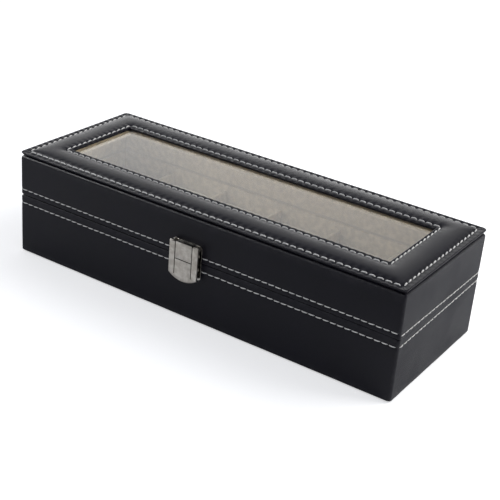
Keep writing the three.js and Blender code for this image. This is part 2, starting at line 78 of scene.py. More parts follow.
class Body(Enum):
    """The rigid bodies that pieces ride on, apart from the cushions."""

    BASE = "base"
    LID = "lid"
    FLAP = "clasp_flap"


class Slot(Enum):
    """The record's material slots."""

    LEATHER = "black_leather"
    VELVET = "cream_velvet"
    NICKEL = "satin_nickel"
    GLASS = "window_glass"
    BOARD = "fibreboard"
    FOAM = "padding_foam"
    FELT = "black_felt"
    THREAD = "white_thread"


# Node trees


class Span(NamedTuple):
    """The range that a value runs over, and what it becomes at either end."""

    low: float
    high: float
    to_low: float
    to_high: float


class Graph:
    """A node tree that is filled node by node."""

    def __init__(self, tree: NodeTree) -> None:
        """Takes over a tree and empties it."""
        self.tree = tree
        tree.nodes.clear()

    def node(self, kind: str, inputs: dict | None = None, **settings: object) -> Node:
        """Adds one node.

        Args:
            kind: The node's type name.
            inputs: Input name or number to a plain value, or to the socket that feeds it.
            **settings: The node's own properties.

        Returns:
            The new node.
        """
        node = self.tree.nodes.new(kind)
        for name, value in settings.items():
            setattr(node, name, value)
        self.feed(node, inputs or {})
        return node

    def feed(self, node: Node, inputs: dict) -> None:
        """Sets inputs of a node.

        Args:
            node: The node.
            inputs: Input name or number to a plain value, or to the socket that feeds it.
        """
        for key, value in inputs.items():
            if isinstance(value, NodeSocket):
                self.tree.links.new(value, node.inputs[key])
            else:
                node.inputs[key].default_value = value

    def math(self, operation: str, *values: float | NodeSocket) -> NodeSocket:
        """Adds a Math node with its inputs in order, and gives its result."""
        node = self.node("ShaderNodeMath", dict(enumerate(values)), operation=operation)
        return node.outputs[0]

    def product(self, first: NodeSocket, *others: float | NodeSocket) -> NodeSocket:
        """Multiplies values.

        Args:
            first: The first value's socket.
            *others: The values to multiply it by.

        Returns:
            The product's socket.
        """
        for other in others:
            first = self.math("MULTIPLY", first, other)
        return first

    def ramp(self, value: NodeSocket, low: float, high: float, to_low: float, to_high: float) -> NodeSocket:
        """Maps a value smoothly from one range to another.

        Args:
            value: The value's socket.
            low: Where the range starts.
            high: Where the range ends.
            to_low: The result at its start.
            to_high: The result at its end.

        Returns:
            The mapped value's socket.
        """
        inputs = {"Value": value, "From Min": low, "From Max": high, "To Min": to_low, "To Max": to_high}
        node = self.node("ShaderNodeMapRange", inputs, interpolation_type="SMOOTHSTEP")
        return node.outputs["Result"]

    def around(self, value: NodeSocket, middle: float, spread: float) -> NodeSocket:
        """Maps a value from 0 to 1 smoothly to a range about a middle."""
        return self.ramp(value, 0.0, 1.0, middle - spread, middle + spread)

    def vector(self, operation: str, inputs: dict) -> NodeSocket:
        """Adds a Vector Math node and gives its vector."""
        return self.node("ShaderNodeVectorMath", inputs, operation=operation).outputs[0]

    def blend(self, share: NodeSocket, first: Colour | NodeSocket,
              second: Colour | NodeSocket) -> NodeSocket:
        """Mixes two colours, the first at a share of 0 and the second at a share of 1."""
        # The node's colour sockets are its inputs 6 and 7 and its output 2
        node = self.node("ShaderNodeMix", {0: share, 6: first, 7: second}, data_type="RGBA")
        return node.outputs[2]

    def place(self) -> NodeSocket:
        """Gives the place of the point on its object."""
        return self.node("ShaderNodeTexCoord").outputs["Object"]

    def noise(self, place: NodeSocket, scale: float | NodeSocket, detail: float, rough: float = 0.5) -> Node:
        """Adds a noise texture."""
        inputs = {"Vector": place, "Scale": scale, "Detail": detail, "Roughness": rough}
        return self.node("ShaderNodeTexNoise", inputs)

    def mark(self, name: str) -> NodeSocket:
        """Reads one of the marks that a mesh carries."""
        return self.node("ShaderNodeAttribute", attribute_name=name).outputs["Fac"]


def effect_group(name: str, given: str, usual: float,
                 outputs: Sequence[str]) -> tuple[Graph, NodeSocket, NodeSocket]:
    """Starts a shader node group that has one number to set.

    Args:
        name: The group's name.
        given: The number's name.
        usual: Its usual value.
        outputs: The names of the values that the group puts out.

    Returns:
        The graph to fill, the place of the point on its object, and the number's socket.
    """
    tree = bpy.data.node_groups.new(name, "ShaderNodeTree")
    socket = tree.interface.new_socket(name=given, in_out="INPUT", socket_type="NodeSocketFloat")
    socket.default_value = usual
    for key in outputs:
        tree.interface.new_socket(name=key, in_out="OUTPUT", socket_type="NodeSocketFloat")
    graph = Graph(tree)
    return graph, graph.place(), graph.node("NodeGroupInput").outputs[given]


def close_group(graph: Graph, results: dict[str, NodeSocket]) -> NodeTree:
    """Joins a group's results to its outputs and gives the finished group."""
    graph.node("NodeGroupOutput", results)
    return graph.tree


def leather_grain_group() -> NodeTree:
    """Pebbled grain: rounded cells with fine creases between them.

    Returns:
        A group that takes Scale in cells per metre and gives Height and Crease.
    """
    graph, place, scale = effect_group("leather_grain", "Scale", 1300.0, ["Height", "Crease"])
    bend = 0.8 * MM
    crease_width = 0.16
    fine_share = 0.35
    warp = graph.noise(place, graph.product(scale, 0.4), 2.0)
    push = graph.vector("SUBTRACT", {0: warp.outputs["Color"], 1: (0.5,) * 3})
    shift = graph.vector("SCALE", {0: push, "Scale": bend})
    cells = graph.node(
        "ShaderNodeTexVoronoi",
        {"Vector": graph.vector("ADD", {0: place, 1: shift}), "Scale": scale, "Randomness": 0.9},
        feature="DISTANCE_TO_EDGE",
    )
    crease = graph.ramp(cells.outputs["Distance"], 0.0, crease_width, 1.0, 0.0)
    fine = graph.noise(place, graph.product(scale, 2.6), 3.0)
    dome = graph.math("SUBTRACT", 1.0, crease)
    height = graph.math("MULTIPLY_ADD", fine.outputs["Fac"], fine_share, dome)
    return close_group(graph, {"Height": height, "Crease": crease})


def mottle_group() -> NodeTree:
    """Soft uneven patches, as of handling or of cloth that lies unevenly.

    Returns:
        A group that takes Scale and gives Shade, from 0 to 1.
    """
    graph, place, scale = effect_group("mottle", "Scale", 30.0, ["Shade"])
    wide = graph.noise(place, scale, 5.0, 0.6)
    return close_group(graph, {"Shade": graph.ramp(wide.outputs["Fac"], 0.3, 0.7, 0.0, 1.0)})


def nap_group() -> NodeTree:
    """Short pile: single fibres, and broad strokes where it was brushed the other way.

    Returns:
        A group that takes Scale and gives Height and Stroke.
    """
    graph, place, scale = effect_group("velvet_nap", "Scale", 2600.0, ["Height", "Stroke"])
    strokes_per_metre = 38.0
    along_y = (1.0, 0.35, 1.0)
    fibres = graph.noise(place, scale, 2.0)
    stretched = graph.node("ShaderNodeMapping", {"Vector": place, "Scale": along_y})
    strokes = graph.noise(stretched.outputs[0], strokes_per_metre, 5.0)
    stroke = graph.ramp(strokes.outputs["Fac"], 0.35, 0.65, 0.0, 1.0)
    return close_group(graph, {"Height": fibres.outputs["Fac"], "Stroke": stroke})


def brushing_group() -> NodeTree:
    """Fine parallel scratches of satin-finished metal, along Z.

    Returns:
        A group that takes Scale and gives Height.
    """
    graph, place, scale = effect_group("satin_brushing", "Scale", 6000.0, ["Height"])
    along_z = (1.0, 1.0, 0.03)
    drawn = graph.node("ShaderNodeMapping", {"Vector": place, "Scale": along_z})
    lines = graph.noise(drawn.outputs[0], scale, 2.0)
    return close_group(graph, {"Height": lines.outputs["Fac"]})


def edge_wear_group() -> NodeTree:
    """Wear along the edges that the mesh marks, with a painted highlight there, broken up by noise.

    Returns:
        A group that takes Amount and gives Mask.
    """
    graph, place, amount = effect_group("edge_wear", "Amount", 1.0, ["Mask"])
    patches_per_metre = 260.0
    broken = graph.noise(place, patches_per_metre, 4.0)
    patches = graph.ramp(broken.outputs["Fac"], 0.35, 0.7, 0.25, 1.0)
    return close_group(graph, {"Mask": graph.product(graph.mark(SCUFF_AND_HIGHLIGHT), patches, amount)})


def lint_group() -> NodeTree:
    """Sparse specks of lint and dust on faces that look up.

    Returns:
        A group that takes Amount and gives Mask.
    """
    graph, place, amount = effect_group("lint", "Amount", 0.3, ["Mask"])
    specks_per_metre = 900.0
    specks = graph.noise(place, specks_per_metre, 3.0)
    sparse = graph.ramp(specks.outputs["Fac"], 0.66, 0.74, 0.0, 1.0)
    normal = graph.node("ShaderNodeTexCoord").outputs["Normal"]
    upward = graph.node("ShaderNodeSeparateXYZ", {0: normal}).outputs["Z"]
    lying = graph.ramp(upward, 0.4, 0.95, 0.0, 1.0)
    return close_group(graph, {"Mask": graph.product(sparse, lying, amount)})


@dataclass(frozen=True)
class Effects:
    """The node groups that the finishes share."""

    grain: NodeTree = field(default_factory=leather_grain_group)
    mottle: NodeTree = field(default_factory=mottle_group)
    nap: NodeTree = field(default_factory=nap_group)
    brushing: NodeTree = field(default_factory=brushing_group)
    edge_wear: NodeTree = field(default_factory=edge_wear_group)
    lint: NodeTree = field(default_factory=lint_group)


# Finishes


def new_material(name: str, colour: Colour) -> tuple[Material, Graph, Node]:
    """Starts a material with one Principled shader joined to its output.

    Args:
        name: The material's name.
        colour: Its colour in the viewport.

    Returns:
        The material, its graph and its shader node.
    """
    material = bpy.data.materials.new(name)
    material.use_nodes = True
    material.diffuse_color = colour
    graph = Graph(material.node_tree)
    shader = graph.node("ShaderNodeBsdfPrincipled")
    graph.node("ShaderNodeOutputMaterial", {"Surface": shader.outputs[0]})
    return material, graph, shader


def effect(graph: Graph, group: NodeTree, **inputs: float) -> Node:
    """Places a shared effect in a material with values of its own."""
    return graph.node("ShaderNodeGroup", inputs, node_tree=group)


def bump(graph: Graph, shader: Node, height: NodeSocket, depth: float, strength: float) -> None:
    """Turns a height into a relief of some depth in metres, and feeds a share of it to a shader's normal."""
    relief = graph.node("ShaderNodeBump", {"Height": height, "Distance": depth, "Strength": strength})
    graph.feed(shader, {"Normal": relief.outputs[0]})


def toned(colour: Colour, tone: float) -> Colour:
    """Gives a darker or lighter tone of a colour."""
    return tuple(min(1.0, tone * c) for c in colour[:3]) + (1.0,)


@dataclass(frozen=True)
class LeatherFinish:
    """Satin black imitation leather with a fine grain, smoother and paler along edges: wear and a painted
    highlight.
    """

    name: str = "black_leather_satin"
    colour: Colour = (0.0038, 0.0032, 0.0085, 1.0)
    scuffed_and_highlit: Colour = (0.024, 0.023, 0.028, 1.0)
    lint: Colour = (0.08, 0.08, 0.08, 1.0)
    patch_tone: float = 0.72
    patch_scale: float = 34.0
    roughness: float = 0.34
    unevenness: float = 0.035
    crease_roughness: float = 0.1
    rubbed_smoothness: float = 0.08
    ior: float = 1.37
    grain_scale: float = 1250.0
    grain_depth: float = 0.06 * MM
    grain_shown: float = 0.55
    edge_wear: float = 0.55
    dust: float = 0.22

    def build(self, effects: Effects) -> Material:
        """Makes the material.

        Args:
            effects: The shared node groups.

        Returns:
            The material.
        """
        material, graph, shader = new_material(self.name, self.colour)
        grain = effect(graph, effects.grain, Scale=self.grain_scale)
        patches = effect(graph, effects.mottle, Scale=self.patch_scale).outputs["Shade"]
        wear = effect(graph, effects.edge_wear, Amount=self.edge_wear).outputs["Mask"]
        lint = effect(graph, effects.lint, Amount=self.dust).outputs["Mask"]
        base = graph.blend(patches, toned(self.colour, self.patch_tone), self.colour)
        # Marked edges get a paler colour: wear, and partly a painted highlight
        scuffed_and_highlit = graph.blend(wear, base, self.scuffed_and_highlit)
        uneven = graph.around(patches, self.roughness, self.unevenness)
        creased = graph.math("MULTIPLY_ADD", grain.outputs["Crease"], self.crease_roughness, uneven)
        graph.feed(shader, {
            "Base Color": graph.blend(lint, scuffed_and_highlit, self.lint),
            "Roughness": graph.math("MULTIPLY_ADD", wear, -self.rubbed_smoothness, creased),
            "IOR": self.ior,
        })
        bump(graph, shader, grain.outputs["Height"], self.grain_depth, self.grain_shown)
        return material


@dataclass(frozen=True)
class VelvetFinish:
    """Short-pile velvet with brushed strokes, a soft sheen, wear and painted highlight on edges, and painted
    pools of light.
    """

    name: str = "cream_velvet_nap"
    colour: Colour = (0.72, 0.625, 0.48, 1.0)
    shaded: Colour = (0.675, 0.58, 0.44, 1.0)
    painted_light_colour: Colour = (0.96, 0.93, 0.76, 1.0)
    rubbed_tone: float = 1.35
    roughness: tuple[float, float] = (0.85, 1.0)
    sheen: float = 0.35
    sheen_roughness: float = 0.45
    specular: float = 0.2
    nap_scale: float = 2600.0
    nap_depth: float = 0.25 * MM
    nap_shown: float = 0.5
    edge_wear: float = 0.8

    def build(self, effects: Effects) -> Material:
        """Makes the material.

        Args:
            effects: The shared node groups.

        Returns:
            The material.
        """
        material, graph, shader = new_material(self.name, self.colour)
        nap = effect(graph, effects.nap, Scale=self.nap_scale)
        wear = effect(graph, effects.edge_wear, Amount=self.edge_wear).outputs["Mask"]
        brushed = graph.blend(nap.outputs["Stroke"], self.shaded, self.colour)
        # Marked edges, such as the dividers' tops, are paler: wear, and partly a painted highlight
        scuffed_and_highlit = graph.blend(wear, brushed, toned(self.colour, self.rubbed_tone))
        # Where the mesh is marked, a pale painted pool of light covers the velvet's colour
        graph.feed(shader, {
            "Base Color": graph.blend(graph.mark(PAINTED_LIGHT_PATCH), scuffed_and_highlit, self.painted_light_colour),
            "Roughness": graph.ramp(nap.outputs["Height"], 0.0, 1.0, *self.roughness),
            "Sheen Weight": self.sheen,
            "Sheen Roughness": self.sheen_roughness,
            "Specular IOR Level": self.specular,
        })
        bump(graph, shader, nap.outputs["Height"], self.nap_depth, self.nap_shown)
        return material


@dataclass(frozen=True)
class NickelFinish:
    """Satin nickel plate with fine brushing, brighter along edges as wear and painted highlight, with
    painted shade in its grooves.
    """

    name: str = "satin_nickel_brushed"
    colour: Colour = (0.565, 0.515, 0.445, 1.0)
    scuffed_and_highlit: Colour = (0.88, 0.84, 0.77, 1.0)
    painted_shade_colour: Colour = (0.03, 0.027, 0.024, 1.0)
    patch_tone: float = 0.94
    patch_scale: float = 160.0
    roughness: float = 0.42
    unevenness: float = 0.025
    rubbed_smoothness: float = 0.12
    brushing_scale: float = 6000.0
    brushing_depth: float = 0.03 * MM
    brushing_shown: float = 0.35
    edge_wear: float = 0.8

    def build(self, effects: Effects) -> Material:
        """Makes the material.

        Args:
            effects: The shared node groups.

        Returns:
            The material.
        """
        material, graph, shader = new_material(self.name, self.colour)
        brushing = effect(graph, effects.brushing, Scale=self.brushing_scale).outputs["Height"]
        patches = effect(graph, effects.mottle, Scale=self.patch_scale).outputs["Shade"]
        wear = effect(graph, effects.edge_wear, Amount=self.edge_wear).outputs["Mask"]
        plate = graph.blend(patches, toned(self.colour, self.patch_tone), self.colour)
        # Marked edges are brighter: wear, and partly a painted highlight
        scuffed_and_highlit = graph.blend(wear, plate, self.scuffed_and_highlit)
        uneven = graph.around(patches, self.roughness, self.unevenness)
        # Marked grooves and hollows get near-black painted shade
        graph.feed(shader, {
            "Base Color": graph.blend(graph.mark(PAINTED_SHADE), scuffed_and_highlit, self.painted_shade_colour),
            "Roughness": graph.math("MULTIPLY_ADD", wear, -self.rubbed_smoothness, uneven),
            "Metallic": 1.0,
        })
        bump(graph, shader, brushing, self.brushing_depth, self.brushing_shown)
        return material


@dataclass(frozen=True)
class GlassFinish:
    """Clear window glass with a few smears, which lets light through to what lies under it."""

    name: str = "clear_window_glass"
    colour: Colour = (0.975, 0.975, 0.965, 1.0)
    shadow_tint: Colour = (0.93, 0.935, 0.925, 1.0)
    roughness: float = 0.012
    smeared: float = 0.035
    smear_scale: float = 22.0
    least_smear: float = 0.55
    clarity: float = 0.985
    ior: float = 1.52

    def build(self, effects: Effects) -> Material:
        """Makes the material.

        Args:
            effects: The shared node groups.

        Returns:
            The material.
        """
        material, graph, shader = new_material(self.name, self.colour)
        smears = effect(graph, effects.mottle, Scale=self.smear_scale).outputs["Shade"]
        graph.feed(shader, {
            "Base Color": self.colour,
            "Transmission Weight": self.clarity,
            "IOR": self.ior,
            "Roughness": graph.ramp(smears, self.least_smear, 1.0, self.roughness, self.smeared),
        })
        path = graph.node("ShaderNodeLightPath")
        clear = graph.node("ShaderNodeBsdfTransparent", {"Color": self.shadow_tint})
        passing = graph.node(
            "ShaderNodeMixShader",
            {0: path.outputs["Is Shadow Ray"], 1: shader.outputs[0], 2: clear.outputs[0]},
        )
        output = next(n for n in graph.tree.nodes if n.type == "OUTPUT_MATERIAL")
        graph.feed(output, {"Surface": passing.outputs[0]})
        return material


@dataclass(frozen=True)
class MattFinish:
    """A plain matt stuff, such as board, foam or felt, with specks and patches of two colours."""

    name: str
    colour: Colour
    specked: Colour
    grain_scale: float
    grain_depth: float
    grain_shown: float = 0.5
    patch_scale: float = 60.0
    specks: tuple[float, float] = (0.1, 0.55)
    roughness: tuple[float, float] = (0.82, 0.98)

    def build(self, effects: Effects) -> Material:
        """Makes the material.

        Args:
            effects: The shared node groups.

        Returns:
            The material.
        """
        material, graph, shader = new_material(self.name, self.colour)
        grain = effect(graph, effects.nap, Scale=self.grain_scale).outputs["Height"]
        patches = effect(graph, effects.mottle, Scale=self.patch_scale).outputs["Shade"]
        specks = graph.ramp(graph.product(grain, patches), *self.specks, 0.0, 1.0)
        graph.feed(shader, {
            "Base Color": graph.blend(specks, self.colour, self.specked),
            "Roughness": graph.ramp(grain, 0.0, 1.0, *self.roughness),
        })
        bump(graph, shader, grain, self.grain_depth, self.grain_shown)
        return material


@dataclass(frozen=True)
class ThreadFinish:
    """Off-white waxed thread, twisted from plies that show as slanting grooves with painted shade in them.
    """

    name: str = "white_thread_twisted"
    colour: Colour = (0.82, 0.81, 0.78, 1.0)
    # The grooves between the plies are painted this darker colour, as shade
    groove: Colour = (0.5, 0.49, 0.46, 1.0)
    plies: float = 2.0
    turns: float = 3.0
    groove_width: float = 0.3
    patch_tone: float = 0.75
    patch_scale: float = 400.0
    roughness: tuple[float, float] = (0.75, 0.55)
    ply_depth: float = 0.1 * MM
    ply_shown: float = 0.6

    def build(self, effects: Effects) -> Material:
        """Makes the material.

        Args:
            effects: The shared node groups.

        Returns:
            The material.
        """
        material, graph, shader = new_material(self.name, self.colour)
        unwrapped = graph.node("ShaderNodeTexCoord").outputs["UV"]
        split = graph.node("ShaderNodeSeparateXYZ", {0: unwrapped})
        around = graph.product(split.outputs["X"], self.plies)
        along = graph.math("MULTIPLY_ADD", split.outputs["Y"], self.turns, around)
        ply = graph.math("PINGPONG", along, 0.5)
        crown = graph.ramp(ply, 0.0, self.groove_width, 0.0, 1.0)
        patches = effect(graph, effects.mottle, Scale=self.patch_scale).outputs["Shade"]
        # Painted shade darkens the grooves, and random patches tone down the crowns
        uneven = graph.product(crown, graph.ramp(patches, 0.0, 1.0, self.patch_tone, 1.0))
        graph.feed(shader, {
            "Base Color": graph.blend(uneven, self.groove, self.colour),
            "Roughness": graph.ramp(crown, 0.0, 1.0, *self.roughness),
        })
        bump(graph, shader, crown, self.ply_depth, self.ply_shown)
        return material


@dataclass(frozen=True)
class Wardrobe:
    """Every finish of the box, made once."""

    materials: dict[Slot, Material]
    painted_shade_plate: Material

    @classmethod
    def stitched(cls, effects: Effects) -> "Wardrobe":
        """Builds all the finishes.

        Args:
            effects: The shared node groups.

        Returns:
            The wardrobe.
        """
        board = MattFinish(
            "raw_fibreboard", colour=(0.34, 0.21, 0.11, 1.0), specked=(0.45, 0.3, 0.17, 1.0),
            grain_scale=1500.0, grain_depth=0.2 * MM,
        )
        foam = MattFinish(
            "soft_foam", colour=(0.7, 0.66, 0.5, 1.0), specked=(0.6, 0.55, 0.4, 1.0),
            grain_scale=1800.0, grain_depth=0.3 * MM,
        )
        felt = MattFinish(
            "pressed_felt", colour=(0.011, 0.011, 0.011, 1.0), specked=(0.03, 0.03, 0.03, 1.0),
            grain_scale=2200.0, grain_depth=0.3 * MM,
        )
        # The plates behind the flap are painted nearly black, as the shade they lie in
        polished = NickelFinish("polished_nickel_plate", colour=(0.13, 0.12, 0.105, 1.0), roughness=0.2)
        finishes = {
            Slot.LEATHER: LeatherFinish(),
            Slot.VELVET: VelvetFinish(),
            Slot.NICKEL: NickelFinish(),
            Slot.GLASS: GlassFinish(),
            Slot.BOARD: board,
            Slot.FOAM: foam,
            Slot.FELT: felt,
            Slot.THREAD: ThreadFinish(),
        }
        materials = {slot: finish.build(effects) for slot, finish in finishes.items()}
        return cls(materials, polished.build(effects))

    def dress(self, piece: Object, slot: Slot, finish: Material | None = None) -> None:
        """Puts a finish in all of a piece's material slots.

        Args:
            piece: The piece.
            slot: The record's slot, whose usual finish it wears.
            finish: The finish to wear, if it isn't the slot's usual one.
        """
        finish = finish or self.materials[slot]
        if not piece.material_slots:
            piece.data.materials.append(finish)
        for place in piece.material_slots:
            place.material = finish


# Meshes


def placed(name: str, data: ID) -> Object:
    """Puts a mesh, a light or a camera into the scene as an object at the origin.

    Args:
        name: The object's name.
        data: What it holds.

    Returns:
        The object.
    """
    piece = bpy.data.objects.new(name, data)
    bpy.context.scene.collection.objects.link(piece)
    return piece


def object_from(mesh_edit: BMesh, name: str, crease_degrees: float = 38.0) -> Object:
    """Makes an object of a bmesh, smooth but for its sharp edges, and frees the bmesh.

    Args:
        mesh_edit: The bmesh.
        name: The object's name.
        crease_degrees: Edges that turn more than this stay sharp.

    Returns:
        The object, at the world's origin.
    """
    limit = math.radians(crease_degrees)
    for face in mesh_edit.faces:
        face.smooth = True
    for edge in mesh_edit.edges:
        edge.smooth = not edge.is_manifold or edge.calc_face_angle(0.0) < limit
    mesh = bpy.data.meshes.new(name)
    mesh_edit.to_mesh(mesh)
    mesh_edit.free()
    return placed(name, mesh)


def settle(piece: Object, body: str, slot: Slot, wardrobe: Wardrobe,
           stands_for: Sequence[str] = ()) -> Object:
    """Dresses a finished piece, lets it ride on its body and hides the nodes that it stands for.

    Args:
        piece: The piece.
        body: The body's name.
        slot: Its finish.
        wardrobe: The finishes.
        stands_for: The nodes that it stands for.

    Returns:
        The piece.
    """
    wardrobe.dress(piece, slot)
    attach(piece, body)
    if stands_for:
        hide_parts(*stands_for)
    return piece


def mark_layer(mesh_edit: BMesh, name: str) -> bmesh.types.BMLayerItem:
    """Gives the vertex layer that holds one of the marks, and makes it if there is none yet."""
    layers = mesh_edit.verts.layers.float
    return layers.get(name) or layers.new(name)


def bevel(mesh_edit: BMesh, edges: Iterable[BMEdge], width: float, segments: int,
          held: bool) -> list[BMVert]:
    """Rounds edges.

    Args:
        mesh_edit: The bmesh.
        edges: The edges to round.
        width: How far the rounding reaches from the edge.
        segments: How many faces it has across.
        held: Whether it is held back where two roundings would meet.

    Returns:
        The new corners.
    """
    made = bmesh.ops.bevel(
        mesh_edit, geom=list(edges), offset=width, offset_type="OFFSET", affect="EDGES", segments=segments,
        profile=0.5, material=-1, clamp_overlap=held,
    )
    return made["verts"]


def ease_edges(mesh_edit: BMesh, edges: Iterable[BMEdge], width: float, segments: int) -> None:
    """Rounds edges, and marks what was rounded for wear and a painted highlight.

    Args:
        mesh_edit: The bmesh.
        edges: The edges to round.
        width: How far the rounding reaches from the edge.
        segments: How many faces it has across.
    """
    layer = mark_layer(mesh_edit, SCUFF_AND_HIGHLIGHT)
    for vertex in bevel(mesh_edit, edges, width, segments, held=True):
        vertex[layer] = 1.0


def sharp_edges(mesh_edit: BMesh, least_degrees: float = 25.0) -> list[BMEdge]:
    """Finds the edges between faces that turn by more than an angle."""
    limit = math.radians(least_degrees)
    return [e for e in mesh_edit.edges if e.is_manifold and e.calc_face_angle(0.0) > limit]


def node_copy(node: str) -> BMesh:
    """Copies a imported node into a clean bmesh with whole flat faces.

    Args:
        node: The node's name.

    Returns:
        The bmesh.
    """
    flat = math.radians(1.0)
    mesh_edit = bmesh.new()
    mesh_edit.from_mesh(frame["nodes"][node].data)
    bmesh.ops.remove_doubles(mesh_edit, verts=mesh_edit.verts[:], dist=MERGE)
    bmesh.ops.dissolve_limit(
        mesh_edit, angle_limit=flat, use_dissolve_boundaries=False, verts=mesh_edit.verts[:],
        edges=mesh_edit.edges[:],
    )
    return mesh_edit


def eased_node(node: str, suffix: str, width: float, segments: int) -> Object:
    """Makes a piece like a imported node, with its sharp edges rounded.

    Args:
        node: The node's name.
        suffix: What the piece's name adds to it.
        width: How far the rounding reaches.
        segments: How many faces it has across.

    Returns:
        The new piece.
    """
    mesh_edit = node_copy(node)
    ease_edges(mesh_edit, sharp_edges(mesh_edit), width, segments)
    return object_from(mesh_edit, f"{node}_{suffix}")


# Sections swept round the box


@dataclass(frozen=True)
class RailPoint:
    """A point of a section that runs round the box.

    inset is measured inwards from the end walls, and level up from the table. corner is the radius of its
    path at the box's corners. widen is what the inset from the front and back adds to inset.
    """

    inset: float
    level: float
    corner: float
    # How strongly the point is marked for wear and a painted highlight
    scuff_and_highlight_share: float = 0.0
    widen: float = 0.0


@dataclass(frozen=True)
class Pull:
    """How a seam pulls the leather in.

    groove is the depth along the stitches, and hole what a needle's hole adds to it. pucker is the depth of
    the waves beside the holes, which fade out at reach, and crease that of the folds on the outer side.
    gather says how strongly the leather puckers and creases on each side, from the front anticlockwise.
    """

    groove: float
    hole: float
    pucker: float
    reach: float
    crease: float = 0.0
    gather: tuple[float, float, float, float] = (1.0, 1.0, 1.0, 1.0)
    groove_width: float = 0.9 * MM
    hole_width: float = 0.6 * MM
    crease_start: float = 1.0 * MM


@dataclass(frozen=True)
class Seam:
    """A row of stitches that runs round the box along one point of a section.

    drift holds the seam's extra level at the start and the end of each side, from the front anticlockwise,
    because the rows of a hand-guided machine don't run quite level.
    """

    rail: RailPoint
    pitch: float
    pull: Pull
    drift: tuple[tuple[float, float], ...] = ((0.0, 0.0),) * 4

    def runs(self, half: Vector) -> list[tuple[float, int]]:
        """Gives each side's straight length and number of stitches, from the front anticlockwise.

        Args:
            half: The box's half length and half depth.

        Returns:
            A length and a count for each side.
        """
        across = self.rail.inset + self.rail.corner
        lengths = [2 * (half.x - across), 2 * (half.y - across - self.rail.widen)] * 2
        return [(length, max(1, round(length / self.pitch))) for length in lengths]

    def shift(self, station: "Station") -> float:
        """Gives the seam's extra level at a station.

        Args:
            station: The station.

        Returns:
            The extra level.
        """
        start, end = self.drift[station.side % 4]
        following = self.drift[(station.side + 1) % 4][0]
        level = start + (end - start) * station.share
        return level + (following - level) * station.corner_share

    def gathered(self, station: "Station") -> float:
        """Tells how strongly the leather puckers at a station, as a share of the full pucker."""
        here, following = self.pull.gather[station.side % 4], self.pull.gather[(station.side + 1) % 4]
        return here + (following - here) * station.corner_share


@dataclass(frozen=True)
class Station:
    """A place on the way round the box: a share of one side, or a share of the corner that follows it."""

    side: int
    share: float
    corner_share: float = 0.0

    @property
    def turn(self) -> float:
        """The turn from the front, in radians."""
        return (self.side + self.corner_share) * math.pi / 2


class Circuit:
    """The way round the box, anticlockwise from the front left corner."""

    def __init__(self, half: Vector, counts: tuple[int, int], corner_steps: int = 6) -> None:
        """Lays out the stations.

        Args:
            half: The box's half length and half depth.
            counts: The steps along a long side and along a short one.
            corner_steps: The steps round a corner.
        """
        self.half = half
        self.stations = []
        for side in range(4):
            steps = counts[side % 2]
            self.stations += [Station(side, i / steps) for i in range(steps + 1)]
            self.stations += [Station(side, 1.0, i / corner_steps) for i in range(1, corner_steps)]

    @classmethod
    def stitched(cls, half: Vector, pitch: float, steps: int) -> "Circuit":
        """Lays out stations that are close enough to show each stitch's hole.

        Args:
            half: The box's half length and half depth.
            pitch: The stitches' pitch.
            steps: The steps to each stitch.

        Returns:
            The way round the box.
        """
        return cls(half, (round(steps * 2 * half.x / pitch), round(steps * 2 * half.y / pitch)))

    def corner(self, side: int, rail: RailPoint) -> Vector:
        """Gives the centre of the rounding after a side.

        Args:
            side: The side's number, from the front.
            rail: The path.

        Returns:
            The centre.
        """
        right, back = ((1, -1), (1, 1), (-1, 1), (-1, -1))[side % 4]
        across = rail.inset + rail.corner
        return Vector((right * (self.half.x - across), back * (self.half.y - across - rail.widen), 0.0))

    def outward(self, turn: float) -> Vector:
        """Gives the direction out of the box at a turn from the front, in radians."""
        return Vector((math.sin(turn), -math.cos(turn), 0.0))

    def forward(self, turn: float) -> Vector:
        """Gives the direction along the way at a turn from the front, in radians."""
        return Vector((math.cos(turn), math.sin(turn), 0.0))

    def place(self, station: Station, rail: RailPoint) -> Vector:
        """Gives the point of a path at a station.

        Args:
            station: The station.
            rail: The path.

        Returns:
            The point.
        """
        start = self.corner(station.side - 1, rail)
        end = self.corner(station.side, rail)
        point = start.lerp(end, station.share) + self.outward(station.turn) * rail.corner
        point.z = rail.level
        return point


def section_lengths(section: Sequence[RailPoint]) -> list[float]:
    """Measures each point's distance along a section from its start.

    Args:
        section: The section.

    Returns:
        The distances.
    """
    lengths = [0.0]
    for before, after in zip(section, section[1:]):
        lengths.append(lengths[-1] + math.hypot(after.inset - before.inset, after.level - before.level))
    return lengths


def section_normals(section: Sequence[RailPoint]) -> list[tuple[float, float]]:
    """Finds the outward direction at each point of a closed section, as a share of inset and of level.

    Args:
        section: The section, whose solid side lies on its right.

    Returns:
        The directions.
    """
    normals = []
    count = len(section)
    for i in range(count):
        before, after = section[i - 1], section[(i + 1) % count]
        run, rise = after.inset - before.inset, after.level - before.level
        size = math.hypot(run, rise) or 1.0
        normals.append((-rise / size, run / size))
    return normals


